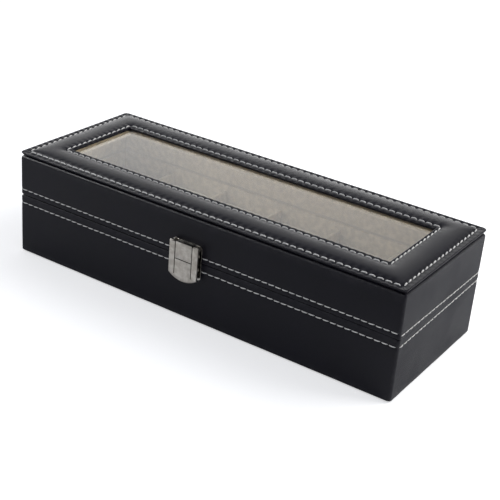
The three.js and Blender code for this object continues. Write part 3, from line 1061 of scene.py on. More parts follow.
@dataclass(frozen=True)
class SweptSkin:
    """A leather skin with a closed section that runs round the box, pulled in along its seams.

    ripple is the height of its slow waves. Within drift_reach of a seam the skin moves up and down with it.
    Paths with a corner radius below tight_corner are marked at the corners for wear and a painted highlight.
    """

    circuit: Circuit
    section: Sequence[RailPoint]
    seams: Sequence[Seam]
    ripple: float = 0.0
    ripples_per_metre: float = 45.0
    drift_reach: float = 0.0
    tight_corner: float = 3.0 * MM
    crease_degrees: float = 60.0

    def seam_places(self) -> list[float]:
        """Measures where each seam lies along the section.

        Returns:
            The distance of each seam from the section's start.
        """
        lengths = section_lengths(self.section)
        places = []
        for seam in self.seams:
            rail = seam.rail
            gaps = [math.hypot(p.inset - rail.inset, p.level - rail.level) for p in self.section]
            places.append(lengths[gaps.index(min(gaps))])
        return places

    def drifted(self, rail: RailPoint, station: Station) -> float:
        """Tells how far a point of a wall moves up or down with its seam.

        Args:
            rail: The point's path.
            station: Where on the path it lies.

        Returns:
            The extra level.
        """
        if not self.drift_reach:
            return 0.0
        shift = 0.0
        for seam in self.seams:
            near = max(0.0, 1.0 - abs(rail.level - seam.rail.level) / self.drift_reach)
            shift += seam.shift(station) * math.sqrt(near)
        return shift

    def sunk(self, seam: Seam, station: Station, along: float, across: float) -> float:
        """Tells how deep a seam pulls the leather in.

        Args:
            seam: The seam.
            station: Where on the way round it is.
            along: The distance along the side from its middle.
            across: The distance across from the seam, below 0 on its outer side.

        Returns:
            The depth.
        """
        pull = seam.pull
        if abs(across) > pull.reach:
            return 0.0
        length, count = seam.runs(self.circuit.half)[station.side % 4]
        phase = (along + length / 2) * count / length
        near_hole = 0.5 + 0.5 * math.cos(2 * math.pi * phase)
        groove = pull.groove * math.exp(-((across / pull.groove_width) ** 2))
        hole = pull.hole * near_hole ** 4 * math.exp(-((across / pull.hole_width) ** 2))
        pucker = pull.pucker * near_hole * math.sin(math.pi * min(1.0, abs(across) / pull.reach))
        outside = max(0.0, min(1.0, -across / pull.crease_start))
        crease = pull.crease * near_hole ** 6 * outside
        return groove + hole + seam.gathered(station) * (crease + pucker)

    def build(self, name: str) -> Object:
        """Makes the skin.

        Args:
            name: The piece's name.

        Returns:
            The piece.
        """
        rows, columns = len(self.section), len(self.circuit.stations)
        lengths, normals = section_lengths(self.section), section_normals(self.section)
        places = self.seam_places()
        mesh_edit = bmesh.new()
        bmesh.ops.create_grid(mesh_edit, x_segments=columns, y_segments=rows, size=0.5)
        layer = mark_layer(mesh_edit, SCUFF_AND_HIGHLIGHT)
        for vertex in mesh_edit.verts:
            row = round((vertex.co.y + 0.5) * rows) % rows
            station = self.circuit.stations[round((vertex.co.x + 0.5) * columns) % columns]
            rail = self.section[row]
            point = self.circuit.place(station, rail)
            point.z += self.drifted(rail, station)
            inward_share, up_share = normals[row]
            normal = self.circuit.outward(station.turn) * -inward_share + Vector((0.0, 0.0, up_share))
            along = point.dot(self.circuit.forward(station.turn))
            depth = 0.0
            for seam, place in zip(self.seams, places):
                depth += self.sunk(seam, station, along, lengths[row] - place)
            swell = self.ripple * noise.noise(point * self.ripples_per_metre) if self.ripple else 0.0
            vertex.co = point + normal * (swell - depth)
            # Rims and tight corners carry the mark for wear and a painted highlight
            in_corner = station.corner_share > 0.0 and rail.corner < self.tight_corner
            vertex[layer] = max(rail.scuff_and_highlight_share, 1.0 if in_corner else 0.0)
        bmesh.ops.remove_doubles(mesh_edit, verts=mesh_edit.verts[:], dist=MERGE_FINE)
        bmesh.ops.recalc_face_normals(mesh_edit, faces=mesh_edit.faces[:])
        return object_from(mesh_edit, name, self.crease_degrees)


@dataclass(frozen=True)
class Thread:
    """How the stitches of a seam lie.

    slant_degrees is a stitch's slant, length_share its length as a share of the pitch, and rise how far its
    middle stands above the groove's edge. Each strays from that by up to wander and wander_degrees, as drawn
    from seed.
    """

    slant_degrees: float
    seed: int
    length_share: float = 0.9
    thickness: float = 0.75 * MM
    rise: float = 0.28 * MM
    wander: float = 0.06 * MM
    wander_degrees: float = 2.5


@dataclass(frozen=True)
class StitchRow:
    """The stitches of one seam, which rise from the leather outwards and upwards by the shares in lean."""

    circuit: Circuit
    seam: Seam
    thread: Thread
    lean: tuple[float, float]
    bluntness: float = 0.5
    taper: float = 3.5
    end_dip: float = 0.7

    def stitch_mesh(self) -> Mesh:
        """Makes one stitch about the origin: along X, with its ends drawn down below Z.

        Returns:
            Its mesh.
        """
        thickness = self.thread.thickness
        half = self.seam.pitch * self.thread.length_share / 2
        mesh_edit = bmesh.new()
        mesh_edit.loops.layers.uv.new("twist")
        bmesh.ops.create_uvsphere(mesh_edit, u_segments=8, v_segments=7, radius=1.0, calc_uvs=True)
        bmesh.ops.rotate(mesh_edit, verts=mesh_edit.verts[:], matrix=Matrix.Rotation(math.pi / 2, 3, "Y"))
        for vertex in mesh_edit.verts:
            reach = math.copysign(abs(vertex.co.x) ** self.bluntness, vertex.co.x)
            width = math.sqrt(max(0.0, 1.0 - abs(reach) ** self.taper))
            girth = math.hypot(vertex.co.y, vertex.co.z) or 1.0
            dip = -self.end_dip * thickness * abs(reach) ** 5
            vertex.co = Vector((
                reach * half,
                vertex.co.y / girth * width * thickness / 2,
                vertex.co.z / girth * width * thickness / 2 + dip,
            ))
        bmesh.ops.recalc_face_normals(mesh_edit, faces=mesh_edit.faces[:])
        mesh = bpy.data.meshes.new("one_stitch")
        mesh_edit.to_mesh(mesh)
        mesh_edit.free()
        return mesh

    def places(self) -> Iterable[Matrix]:
        """Gives each stitch's place and turn.

        Yields:
            A matrix for each stitch.
        """
        thread = self.thread
        chance = random.Random(thread.seed)
        lift = thread.rise - self.seam.pull.groove
        for side, (_, count) in enumerate(self.seam.runs(self.circuit.half)):
            angle = side * math.pi / 2
            tangent = self.circuit.forward(angle)
            up = self.circuit.outward(angle) * self.lean[0] + Vector((0.0, 0.0, self.lean[1]))
            across = up.cross(tangent)
            for i in range(count):
                station = Station(side, (i + 0.5) / count)
                point = self.circuit.place(station, self.seam.rail) + up * lift
                point.z += self.seam.shift(station)
                stray = chance.uniform(-thread.wander_degrees, thread.wander_degrees)
                turn = Matrix.Rotation(math.radians(thread.slant_degrees + stray), 3, up)
                axes = Matrix((turn @ tangent, turn @ across, up)).transposed()
                point += across * chance.uniform(-thread.wander, thread.wander)
                yield Matrix.Translation(point) @ axes.to_4x4()

    def build(self, name: str) -> Object:
        """Makes the row.

        Args:
            name: The piece's name.

        Returns:
            The piece.
        """
        single = self.stitch_mesh()
        mesh_edit = bmesh.new()
        for place in self.places():
            before = len(mesh_edit.verts)
            mesh_edit.from_mesh(single)
            mesh_edit.verts.ensure_lookup_table()
            bmesh.ops.transform(mesh_edit, matrix=place, verts=mesh_edit.verts[before:])
        bpy.data.meshes.remove(single)
        return object_from(mesh_edit, name)


def arc_points(centre: tuple[float, float], radius: float, start: float, end: float, steps: int,
               corner: float, scuff_and_highlight_share: float) -> list[RailPoint]:
    """Gives the points of a rounded edge of a section.

    Args:
        centre: The rounding's centre, as an inset and a level.
        radius: Its radius.
        start: The angle at which it starts, in degrees from straight out of the box towards up.
        end: The angle at which it ends.
        steps: The number of steps.
        corner: The corner radius of the paths.
        scuff_and_highlight_share: How strongly the edge is marked for wear and a painted highlight.

    Returns:
        The points.
    """
    points = []
    for i in range(steps + 1):
        angle = math.radians(start + (end - start) * i / steps)
        inset = centre[0] - radius * math.cos(angle)
        points.append(RailPoint(inset, centre[1] + radius * math.sin(angle), corner, scuff_and_highlight_share))
    return points


def wall_points(low: float, high: float, seam_level: float, corner: float) -> list[RailPoint]:
    """Gives the points up a wall, close together near its seam.

    Args:
        low: The level where the flat wall starts.
        high: The level where it ends.
        seam_level: The seam's level.
        corner: The corner radius.

    Returns:
        The points.
    """
    beside_seam = [0.4 * MM, 0.75 * MM, 1.15 * MM, 1.7 * MM, 2.4 * MM]
    coarse, least = 4.5 * MM, 0.2 * MM
    levels = [seam_level - offset for offset in reversed(beside_seam)] + [seam_level]
    levels += [seam_level + offset for offset in beside_seam]
    below = max(1, round((levels[0] - low) / coarse))
    above = max(1, round((high - levels[-1]) / coarse))
    levels = [low + (levels[0] - low) * i / below for i in range(1, below)] + levels
    last = levels[-1]
    levels += [last + (high - last) * i / above for i in range(1, above)]
    return [RailPoint(0.0, level, corner) for level in levels if low + least < level < high - least]


@dataclass(frozen=True)
class WallSkin:
    """The leather on the four walls of the base or of the lid, with its seam.

    Pairs of sizes are for the bottom and the top. turned_in is how far the leather turns in, rounds the
    radius of the rims, and soft_corners how much larger the corners' radius gets towards the rims.
    """

    node: str
    name: str
    body: Body
    seam_level: float
    turned_in: tuple[float, float]
    rounds: tuple[float, float]
    drift: tuple[tuple[float, float], ...]
    drift_reach: float = 5.5 * MM
    corner: float = 1.6 * MM
    inner_corner: float = 0.4 * MM
    soft_corners: tuple[float, float] = (2.0 * MM, 2.0 * MM)
    skin: float = 0.8 * MM
    ripple: float = 0.1 * MM
    pitch: float = 5.0 * MM
    steps_per_stitch: int = 4
    rim_steps: int = 5
    pull: Pull = Pull(groove=0.2 * MM, hole=0.3 * MM, pucker=0.06 * MM, reach=2.2 * MM)
    thread: Thread = Thread(slant_degrees=2.0, seed=3)

    def build(self, wardrobe: Wardrobe) -> list[Object]:
        """Makes the skin and its stitches.

        Args:
            wardrobe: The finishes.

        Returns:
            The pieces.
        """
        low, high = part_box(self.node)
        half = Vector((high.x, high.y))
        seam = Seam(RailPoint(0.0, self.seam_level, self.corner), self.pitch, self.pull, self.drift)
        circuit = Circuit.stitched(half, self.pitch, self.steps_per_stitch)
        (bottom_in, top_in), (lower, upper) = self.turned_in, self.rounds
        skin, inner = self.skin, self.inner_corner
        section = [
            RailPoint(bottom_in, low.z, 0.0),
            *self.rim((lower, low.z + lower), lower, -90.0, 0.0, self.soft_corners[0]),
            *wall_points(low.z + lower, high.z - upper, self.seam_level, self.corner),
            *self.rim((upper, high.z - upper), upper, 0.0, 90.0, self.soft_corners[1]),
            RailPoint(top_in, high.z, 0.0),
            RailPoint(top_in, high.z - skin, 0.0),
            RailPoint(skin + upper / 2, high.z - skin, inner),
            RailPoint(skin, high.z - skin - upper / 2, inner),
            RailPoint(skin, low.z + skin + lower / 2, inner),
            RailPoint(skin + lower / 2, low.z + skin, inner),
            RailPoint(bottom_in, low.z + skin, 0.0),
        ]
        skin_round = SweptSkin(circuit, section, [seam], ripple=self.ripple, drift_reach=self.drift_reach)
        row = StitchRow(circuit, seam, self.thread, lean=(1.0, 0.0))
        return [
            settle(skin_round.build(self.name), self.body.value, Slot.LEATHER, wardrobe, [self.node]),
            settle(row.build(f"{self.name}_stitches"), self.body.value, Slot.THREAD, wardrobe),
        ]

    def rim(self, centre: tuple[float, float], radius: float, start: float, end: float,
            softer: float) -> list[RailPoint]:
        """Gives the rounded rim of the wall, whose corners are softer than the wall's, or tighter.

        Args:
            centre: The rounding's centre.
            radius: Its radius.
            start: The angle at which it starts, in degrees from straight out towards up.
            end: The angle at which it ends.
            softer: How much larger its corner radius is where it meets the flat.

        Returns:
            The points.
        """
        softened = []
        # The rims are marked in full for wear and a painted highlight
        for point in arc_points(centre, radius, start, end, self.rim_steps, self.corner, scuff_and_highlight_share=1.0):
            share = abs(point.level - centre[1]) / radius
            softened.append(replace(point, corner=self.corner + softer * share ** 2))
        return softened


@dataclass(frozen=True)
class PaddedFrame:
    """The padded leather frame round the window, with its outer and inner seams.

    A seam's three numbers are its inset from the ends, what its inset from the front and back adds to that,
    and its level. dips is how far the padding sinks at the outer and the inner seam, over dip_share of its
    width. rounding is how much larger its corners' radius is at the crest than at the seams.
    scuff_and_highlight_share is how strongly the edges are marked for wear and a painted highlight.
    """

    node: str = "cap_leather"
    outer_seam: tuple[float, float, float] = (4.75 * MM, -0.92 * MM, 76.15 * MM)
    inner_seam: tuple[float, float, float] = (22.5 * MM, -1.4 * MM, 77.3 * MM)
    edge_inset: float = 0.1 * MM
    edge_widen: float = -0.8 * MM
    edge_top: float = 76.42 * MM
    edge_round: float = 0.7 * MM
    edge_corner: float = 2.6 * MM
    edge_tuck_degrees: float = 50.0
    groove_depth: float = 1.1 * MM
    groove_corner: float = 1.2 * MM
    bead_top: float = 77.75 * MM
    bead_corner: float = 0.8 * MM
    window_inset: float = 25.0 * MM
    window_round: float = 1.2 * MM
    window_corner: float = 0.6 * MM
    skin: float = 0.7 * MM
    ripple: float = 0.1 * MM
    swell: float = 1.1 * MM
    dips: tuple[float, float] = (0.65 * MM, 0.2 * MM)
    dip_share: float = 0.12
    seam_corner: float = 1.0 * MM
    rounding: float = 5.0 * MM
    foam_gap: float = 0.3 * MM
    least_foam: float = 0.2 * MM
    scuff_and_highlight_share: float = 0.4
    pitch: float = 5.4 * MM
    steps_per_stitch: int = 6
    outer_pull: Pull = Pull(
        groove=0.2 * MM, hole=0.25 * MM, pucker=0.32 * MM, reach=4.4 * MM, crease=0.28 * MM,
        gather=(1.0, 0.3, 1.0, 1.0),
    )
    inner_pull: Pull = Pull(
        groove=0.25 * MM, hole=0.25 * MM, pucker=0.22 * MM, reach=4.6 * MM, gather=(1.0, 0.5, 1.0, 1.0),
    )
    outer_thread: Thread = Thread(
        slant_degrees=8.0, seed=5, length_share=0.82, thickness=1.1 * MM, rise=0.35 * MM,
    )
    inner_thread: Thread = Thread(
        slant_degrees=6.0, seed=7, length_share=0.84, thickness=1.05 * MM, rise=0.38 * MM,
    )

    def padding(self, sink: float, steps: int) -> list[RailPoint]:
        """Gives the points of the padded roll between the seams.

        Args:
            sink: How far below the leather's face they lie.
            steps: The number of steps across.

        Returns:
            The points, from the outer seam to the inner.
        """
        points = []
        outer, outer_widen, outer_level = self.outer_seam
        inner, inner_widen, inner_level = self.inner_seam
        for i in range(steps + 1):
            across = 0.5 - 0.5 * math.cos(math.pi * i / steps)
            rise = 4 * across * (1 - across)
            near_outer = max(0.0, 1 - across / self.dip_share) ** 2
            near_inner = max(0.0, 1 - (1 - across) / self.dip_share) ** 2
            plain = (outer_level + self.dips[0]) * (1 - across) + (inner_level + self.dips[1]) * across
            level = plain + self.swell * rise - self.dips[0] * near_outer - self.dips[1] * near_inner - sink
            points.append(RailPoint(
                outer + (inner - outer) * across, level, self.seam_corner + self.rounding * rise,
                widen=outer_widen + (inner_widen - outer_widen) * across,
            ))
        return points

    def strip(self, start: RailPoint, end: RailPoint, shares: Sequence[float]) -> list[RailPoint]:
        """Gives points on the flat strip between two others.

        Args:
            start: The first.
            end: The second.
            shares: How far along each point lies.

        Returns:
            The points.
        """
        ends = list(zip(astuple(start), astuple(end)))
        return [RailPoint(*[a * (1 - share) + b * share for a, b in ends]) for share in shares]

    def build(self, wardrobe: Wardrobe) -> list[Object]:
        """Makes the frame, its foam and its stitches.

        Args:
            wardrobe: The finishes.

        Returns:
            The pieces.
        """
        low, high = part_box(self.node)
        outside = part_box("lid_leather_wrap")[1]
        half = Vector((outside.x, outside.y))
        circuit = Circuit.stitched(half, self.pitch, self.steps_per_stitch)
        roll = self.padding(sink=0.0, steps=22)
        outer = Seam(roll[0], self.pitch, self.outer_pull)
        inner = Seam(roll[-1], self.pitch, self.inner_pull)
        section = self.section(roll, half.x - high.x + self.groove_depth, low.z)
        skin = SweptSkin(circuit, section, [outer, inner], ripple=self.ripple)
        leather = skin.build("padded_frame_leather")
        settle(leather, Body.LID.value, Slot.LEATHER, wardrobe, [self.node])
        pieces = [leather, self.stuff(circuit, wardrobe)]
        for seam, thread, side in ((outer, self.outer_thread, "outer"), (inner, self.inner_thread, "inner")):
            row = StitchRow(circuit, seam, thread, lean=(0.0, 1.0)).build(f"padded_frame_{side}_stitches")
            pieces.append(settle(row, Body.LID.value, Slot.THREAD, wardrobe))
        return pieces

    def section(self, roll: list[RailPoint], under_inset: float, bottom: float) -> list[RailPoint]:
        """Gives the section of the leather, from its lower outer edge over the roll to the window and back.

        Args:
            roll: The face of the padded roll.
            under_inset: The inset of the leather's lower outer edge.
            bottom: That edge's level.

        Returns:
            The section.
        """
        edge, bead, window, skin = self.edge_round, self.window_round, self.window_inset, self.skin
        board_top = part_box("cap_board")[1].z
        edge_centre = (self.edge_inset + edge, self.edge_top - edge)
        bead_centre = (window - bead, self.bead_top - bead)
        outside = [
            replace(point, widen=self.edge_widen)
            for point in arc_points(
                edge_centre, edge, -self.edge_tuck_degrees, 90.0, 9, self.edge_corner, self.scuff_and_highlight_share,
            )
        ]
        inside = arc_points(bead_centre, bead, 90.0, 180.0, 5, self.bead_corner, self.scuff_and_highlight_share)
        return [
            RailPoint(under_inset, bottom, self.groove_corner),
            *outside,
            *self.strip(outside[-1], roll[0], (0.2, 0.4, 0.6, 0.8)),
            *roll,
            *self.strip(roll[-1], inside[0], (0.2, 0.45, 0.75)),
            *inside,
            RailPoint(window, board_top, self.window_corner),
            RailPoint(window - skin, board_top, self.window_corner),
            RailPoint(window - skin, self.bead_top - skin, self.window_corner),
            *reversed(self.padding(sink=skin, steps=12)),
            RailPoint(under_inset + skin, self.edge_top - skin, self.bead_corner),
            RailPoint(under_inset + skin, bottom, self.bead_corner),
        ]

    def stuff(self, circuit: Circuit, wardrobe: Wardrobe) -> Object:
        """Makes the foam under the leather.

        Args:
            circuit: The way round the box.
            wardrobe: The finishes.

        Returns:
            The piece.
        """
        board_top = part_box("cap_board")[1].z
        play = self.skin + self.foam_gap
        side = self.window_inset - play
        padding = self.padding(sink=play, steps=14)
        roll = [point for point in padding if point.level > board_top + self.least_foam]
        section = [
            replace(roll[0], level=board_top),
            *roll,
            RailPoint(side, self.inner_seam[2] - play, self.window_corner),
            RailPoint(side, board_top, self.window_corner),
        ]
        foam = SweptSkin(circuit, section, []).build("padded_frame_foam")
        settle(foam, Body.LID.value, Slot.FOAM, wardrobe, ["cap_foam_ring"])
        return foam


# Soft and covered pieces


@dataclass(frozen=True)
class LidFacing:
    """The strip of velvet that covers the lid's walls below their lining."""

    thickness: float = 0.2 * MM
    lift: float = 0.9 * MM

    def build(self, wardrobe: Wardrobe) -> list[Object]:
        """Makes the strip.

        Args:
            wardrobe: The finishes.

        Returns:
            The one piece.
        """
        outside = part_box("lid_leather_wrap")[1]
        half = Vector((outside.x, outside.y))
        wall = half.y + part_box("lid_front_board")[1].y
        low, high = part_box("lid_leather_wrap")[0].z + self.lift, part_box("lid_front_liner")[0].z
        section = [
            RailPoint(wall, low, 0.0),
            RailPoint(wall, high, 0.0),
            RailPoint(wall + self.thickness, high, 0.0),
            RailPoint(wall + self.thickness, low, 0.0),
        ]
        circuit = Circuit(half, counts=(8, 4), corner_steps=2)
        strip = SweptSkin(circuit, section, []).build("lid_rim_velvet")
        return [settle(strip, Body.LID.value, Slot.VELVET, wardrobe)]


@dataclass(frozen=True)
class CoveredBoards:
    """Thin boards covered in velvet, with soft edges."""

    nodes: Sequence[str]
    body: Body
    softness: float = 0.7 * MM

    def build(self, wardrobe: Wardrobe) -> list[Object]:
        """Makes the covered boards.

        Args:
            wardrobe: The finishes.

        Returns:
            The pieces.
        """
        pieces = []
        for node in self.nodes:
            piece = eased_node(node, "velvet", self.softness, segments=4)
            pieces.append(settle(piece, self.body.value, Slot.VELVET, wardrobe, [node]))
        return pieces


def climbed(value: float, low: float, high: float) -> float:
    """Tells how far a value has got from one limit to the other, from 0 to 1."""
    return max(0.0, min(1.0, (value - low) / (high - low)))


@dataclass(frozen=True)
class Cushions:
    """The six stuffed cushions, blown up as cloth from a rounded block.

    slack is how much smaller the block is than the cushion all round, and most_travel how far the stuffing
    moves a point. The cloth is sewn at seam_inset from either end, is drawn in by shrink, and has dents that
    are dent deep. painted_light_ends says how strong a pool of light painted on each cushion's back end is.
    The pairs are shares of the cushion's half size, between which its end seams and that painted light fade
    in.
    """

    count: int = 6
    slack: float = 1.6 * MM
    fold_radius: float = 8.5 * MM
    rim_round: float = 2.5 * MM
    voxel: float = 4.0 * MM
    pressure: float = 4.0
    frames: int = 20
    most_travel: float = 3.5 * MM
    seam_inset: float = 3.0 * MM
    seam_width: float = 1.3 * MM
    seam_depth: float = 0.9 * MM
    dent: float = 0.45 * MM
    dents_per_metre: float = 55.0
    noise_step: float = 9.0
    shrink: float = 0.25 * MM
    # How strong the pool of light painted on each cushion's back end is
    painted_light_ends: tuple[float, ...] = (0.25, 0.95, 0.35, 0.3, 0.2, 0.25)
    seam_fades: tuple[float, float] = (0.55, 0.85)
    painted_light_behind: tuple[float, float] = (0.35, 0.6)
    painted_light_above: tuple[float, float] = (0.2, 0.6)

    def block(self, size: Vector) -> Object:
        """Makes the rounded block that the stuffing swells.

        Args:
            size: The cushion's size.

        Returns:
            The block, about the origin.
        """
        mesh_edit = bmesh.new()
        bmesh.ops.create_cube(mesh_edit, size=1.0)
        slim = Vector(size) - Vector((2, 2, 2)) * self.slack
        bmesh.ops.scale(mesh_edit, vec=slim, verts=mesh_edit.verts[:])
        across = [
            e for e in mesh_edit.edges
            if abs((e.verts[0].co - e.verts[1].co).normalized().x) > SQUARE_ON
        ]
        bevel(mesh_edit, across, self.fold_radius, segments=7, held=False)
        rims = sharp_edges(mesh_edit, least_degrees=60.0)
        bevel(mesh_edit, rims, self.rim_round, segments=2, held=False)
        return object_from(mesh_edit, "cushion_block")

    def swell(self, block: Object, limits: Vector) -> Mesh:
        """Fills a block with air as cloth does, and keeps it within its compartment.

        Args:
            block: The block.
            limits: Half of the largest size that it may have.

        Returns:
            The swollen mesh.
        """
        remesh = block.modifiers.new("even_faces", "REMESH")
        remesh.mode = "VOXEL"
        remesh.voxel_size = self.voxel
        self.keep(block)
        start = [v.co.copy() for v in block.data.vertices]
        cloth = block.modifiers.new("stuffing", "CLOTH")
        cloth.settings.use_pressure = True
        cloth.settings.uniform_pressure_force = self.pressure
        cloth.settings.effector_weights.gravity = 0.0
        cloth.settings.quality = 6
        for step in range(1, self.frames + 1):
            bpy.context.scene.frame_set(step)
        self.keep(block)
        bpy.context.scene.frame_set(1)
        for vertex, origin in zip(block.data.vertices, start):
            travel = vertex.co - origin
            if travel.length > self.most_travel:
                vertex.co = origin + travel.normalized() * self.most_travel
            vertex.co = Vector(max(-most, min(most, value)) for value, most in zip(vertex.co, limits))
        smooth = block.modifiers.new("finer_faces", "SUBSURF")
        smooth.levels = smooth.render_levels = 1
        self.keep(block)
        return block.data

    def keep(self, piece: Object) -> None:
        """Applies every modifier of a piece.

        Args:
            piece: The piece.
        """
        graph = bpy.context.evaluated_depsgraph_get()
        made = bpy.data.meshes.new_from_object(piece.evaluated_get(graph))
        piece.modifiers.clear()
        piece.data = made

    def sew(self, point: Vector, half: Vector) -> Vector:
        """Draws the cloth in along the seams that close the cushion's two ends.

        Args:
            point: A point of the swollen cushion.
            half: Half of the cushion's size.

        Returns:
            The point, drawn in where it lies on a seam.
        """
        from_end = half.x - abs(point.x)
        rim = max(abs(point.y) / half.y, abs(point.z) / half.z)
        on_side = math.exp(-(((from_end - self.seam_inset) / self.seam_width) ** 2))
        pull = self.seam_depth * on_side * climbed(rim, *self.seam_fades)
        flat = Vector((0.0, point.y, point.z))
        return point - flat.normalized() * pull if flat.length > 0 else point

    def brush(self, mesh: Mesh, middle: Vector, half: Vector, amount: float) -> None:
        """Marks the back end of a cushion's top for a painted pool of light.

        Args:
            mesh: The cushion's mesh.
            middle: The cushion's middle.
            half: Half of the cushion's size.
            amount: How strong the painted light is.
        """
        marks = mesh.attributes.new(PAINTED_LIGHT_PATCH, "FLOAT", "POINT")
        for vertex, mark in zip(mesh.vertices, marks.data):
            place = vertex.co - middle
            behind = climbed(place.y / half.y, *self.painted_light_behind)
            upward = climbed(place.z / half.z, *self.painted_light_above)
            mark.value = amount * behind * upward

    def build(self, wardrobe: Wardrobe) -> list[Object]:
        """Makes all the cushions.

        Args:
            wardrobe: The finishes.

        Returns:
            The pieces.
        """
        low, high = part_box("cushion_1")
        half = (high - low) / 2
        block = self.block(high - low)
        swollen = self.swell(block, half)
        pieces = []
        for number in range(1, self.count + 1):
            low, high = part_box(f"cushion_{number}")
            middle = (low + high) / 2
            mesh = swollen.copy()
            mesh.name = f"cushion_{number}_velvet"
            elsewhere = Vector((self.noise_step * number, 0.0, 0.0))
            for vertex in mesh.vertices:
                sewn = self.sew(vertex.co, half)
                dent = self.dent * noise.noise(vertex.co * self.dents_per_metre + elsewhere)
                vertex.co = sewn - sewn.normalized() * (self.shrink + dent) + middle
            # A pool of light is painted on the cushion's back end
            self.brush(mesh, middle, half, self.painted_light_ends[number - 1])
            piece = placed(mesh.name, mesh)
            for face in mesh.polygons:
                face.use_smooth = True
            settle(piece, f"cushion_{number}", Slot.VELVET, wardrobe, [f"cushion_{number}"])
            pieces.append(piece)
        bpy.data.objects.remove(block)
        return pieces


# Metal pieces


@dataclass(frozen=True)
class Clasp:
    """The clasp: the swinging flap and the two plates behind it.

    The flap's curved lower lip is bevelled up to lip_height, and its edges rise there by less than
    lip_slope. Its strips are strip_side wide, and the floors of its grooves lie between the two
    groove_floors behind its face. back_shade is how much painted shade its back gets.
    plate_depth is how thick the lid's plate is behind its pin block, and rim_share how much of the block's
    rounded rim counts as its face.
    """

    lip_width: float = 1.0 * MM
    lip_height: float = 4.2 * MM
    lip_slope: float = 1.1
    shoulder: float = 0.8 * MM
    ease: float = 0.22 * MM
    thickness: float = 1.2 * MM
    strip_side: float = 2.0 * MM
    groove_floors: tuple[float, float] = (0.2 * MM, 1.0 * MM)
    back_depth: float = 0.1 * MM
    back_shade: float = 0.7
    plate_depth: float = 1.1 * MM
    rim_share: float = 0.9

    def flap(self) -> Object:
        """Makes the flap, with a bevelled lower lip and rounded shoulders at the pin.

        Returns:
            The piece.
        """
        node = "clasp_flap"
        low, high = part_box(node)
        mesh_edit = node_copy(node)
        lip = [
            e for e in self.front_edges(mesh_edit, low)
            if self.curves(e) and all(v.co.z < low.z + self.lip_height for v in e.verts)
        ]
        ease_edges(mesh_edit, lip, self.lip_width, 3)
        shoulders = [
            e for e in self.front_edges(mesh_edit, low)
            if all(abs(v.co.z - high.z) < TOUCH for v in e.verts)
        ]
        ease_edges(mesh_edit, shoulders, self.shoulder, 4)
        ease_edges(mesh_edit, sharp_edges(mesh_edit), self.ease, 2)
        # Painted shade on the grooves, slits and back
        self.tarnish_flap(mesh_edit, low, high)
        return object_from(mesh_edit, "clasp_flap_nickel")

    def front_edges(self, mesh_edit: BMesh, low: Vector) -> list[BMEdge]:
        """Finds the sharp edges of the front face."""
        return [e for e in sharp_edges(mesh_edit) if all(abs(v.co.y - low.y) < TOUCH for v in e.verts)]

    def curves(self, edge: BMEdge) -> bool:
        """Tells whether an edge rises slowly enough to belong to the curved lower lip."""
        run = edge.verts[0].co - edge.verts[1].co
        return abs(run.z) < abs(run.x) * self.lip_slope

    def tarnish_flap(self, mesh_edit: BMesh, low: Vector, high: Vector) -> None:
        """Marks painted shade on the flap's grooves, slits and their rounded rims, and more lightly on its
        back.

        Args:
            mesh_edit: The flap.
            low: Its lowest corner, with the front face.
            high: Its highest corner.
        """
        layer = mark_layer(mesh_edit, PAINTED_SHADE)
        middle, reach = (low.x + high.x) / 2, (high.x - low.x) / 2 - self.strip_side
        shallow, deep = self.groove_floors
        pressed = []
        for face in mesh_edit.faces:
            centre = face.calc_center_median()
            behind = centre.y - low.y
            floor = face.normal.y < -SQUARE_ON and shallow < behind < deep
            wall = abs(face.normal.x) > SQUARE_ON and abs(centre.x - middle) < reach
            sill = face.normal.z > SQUARE_ON and centre.z < high.z - self.strip_side
            if floor or (wall or sill) and 0.0 < behind < self.thickness:
                spans = [sorted(v.co[axis] for v in face.verts) for axis in (0, 2)]
                pressed.append([(span[0] - self.ease, span[-1] + self.ease) for span in spans])
        for vertex in mesh_edit.verts:
            place, behind = vertex.co, vertex.co.y - low.y
            near = any(x[0] <= place.x <= x[1] and z[0] <= place.z <= z[1] for x, z in pressed)
            if near and TOUCH < behind <= self.thickness:
                vertex[layer] = 1.0
            elif behind > self.thickness - self.back_depth:
                vertex[layer] = self.back_shade

    def lid_plate(self, wardrobe: Wardrobe) -> Object:
        """Makes the lid's plate, whose pin block comes forward between the flap's strips, dark with painted
        shade.

        Args:
            wardrobe: The finishes.

        Returns:
            The piece, with the block's face in the flap's satin finish, its sides marked for painted shade
            and the rest in the dark painted-shade finish.
        """
        node = "clasp_lid_plate"
        low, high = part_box(node)
        mesh_edit = node_copy(node)
        ease_edges(mesh_edit, sharp_edges(mesh_edit), self.ease, 2)
        # The block's sides get painted shade
        layer = mark_layer(mesh_edit, PAINTED_SHADE)
        for vertex in mesh_edit.verts:
            if low.y + TOUCH < vertex.co.y < high.y - self.plate_depth:
                vertex[layer] = 1.0
        # Only the block's face is satin; the rest of the plate wears the dark painted-shade finish
        for face in mesh_edit.faces:
            face.material_index = int(face.calc_center_median().y < low.y + self.rim_share * self.ease)
        plate = object_from(mesh_edit, f"{node}_nickel")
        settle(plate, Body.LID.value, Slot.NICKEL, wardrobe, [node])
        wardrobe.dress(plate, Slot.NICKEL, wardrobe.painted_shade_plate)
        plate.data.materials.append(wardrobe.materials[Slot.NICKEL])
        return plate

    def build(self, wardrobe: Wardrobe) -> list[Object]:
        """Makes the clasp.

        Args:
            wardrobe: The finishes.

        Returns:
            The pieces.
        """
        flap = settle(self.flap(), Body.FLAP.value, Slot.NICKEL, wardrobe, ["clasp_flap"])
        plate = self.lid_plate(wardrobe)
        keeper = eased_node("clasp_keeper_plate", "nickel", self.ease, 2)
        settle(keeper, Body.BASE.value, Slot.NICKEL, wardrobe, ["clasp_keeper_plate"])
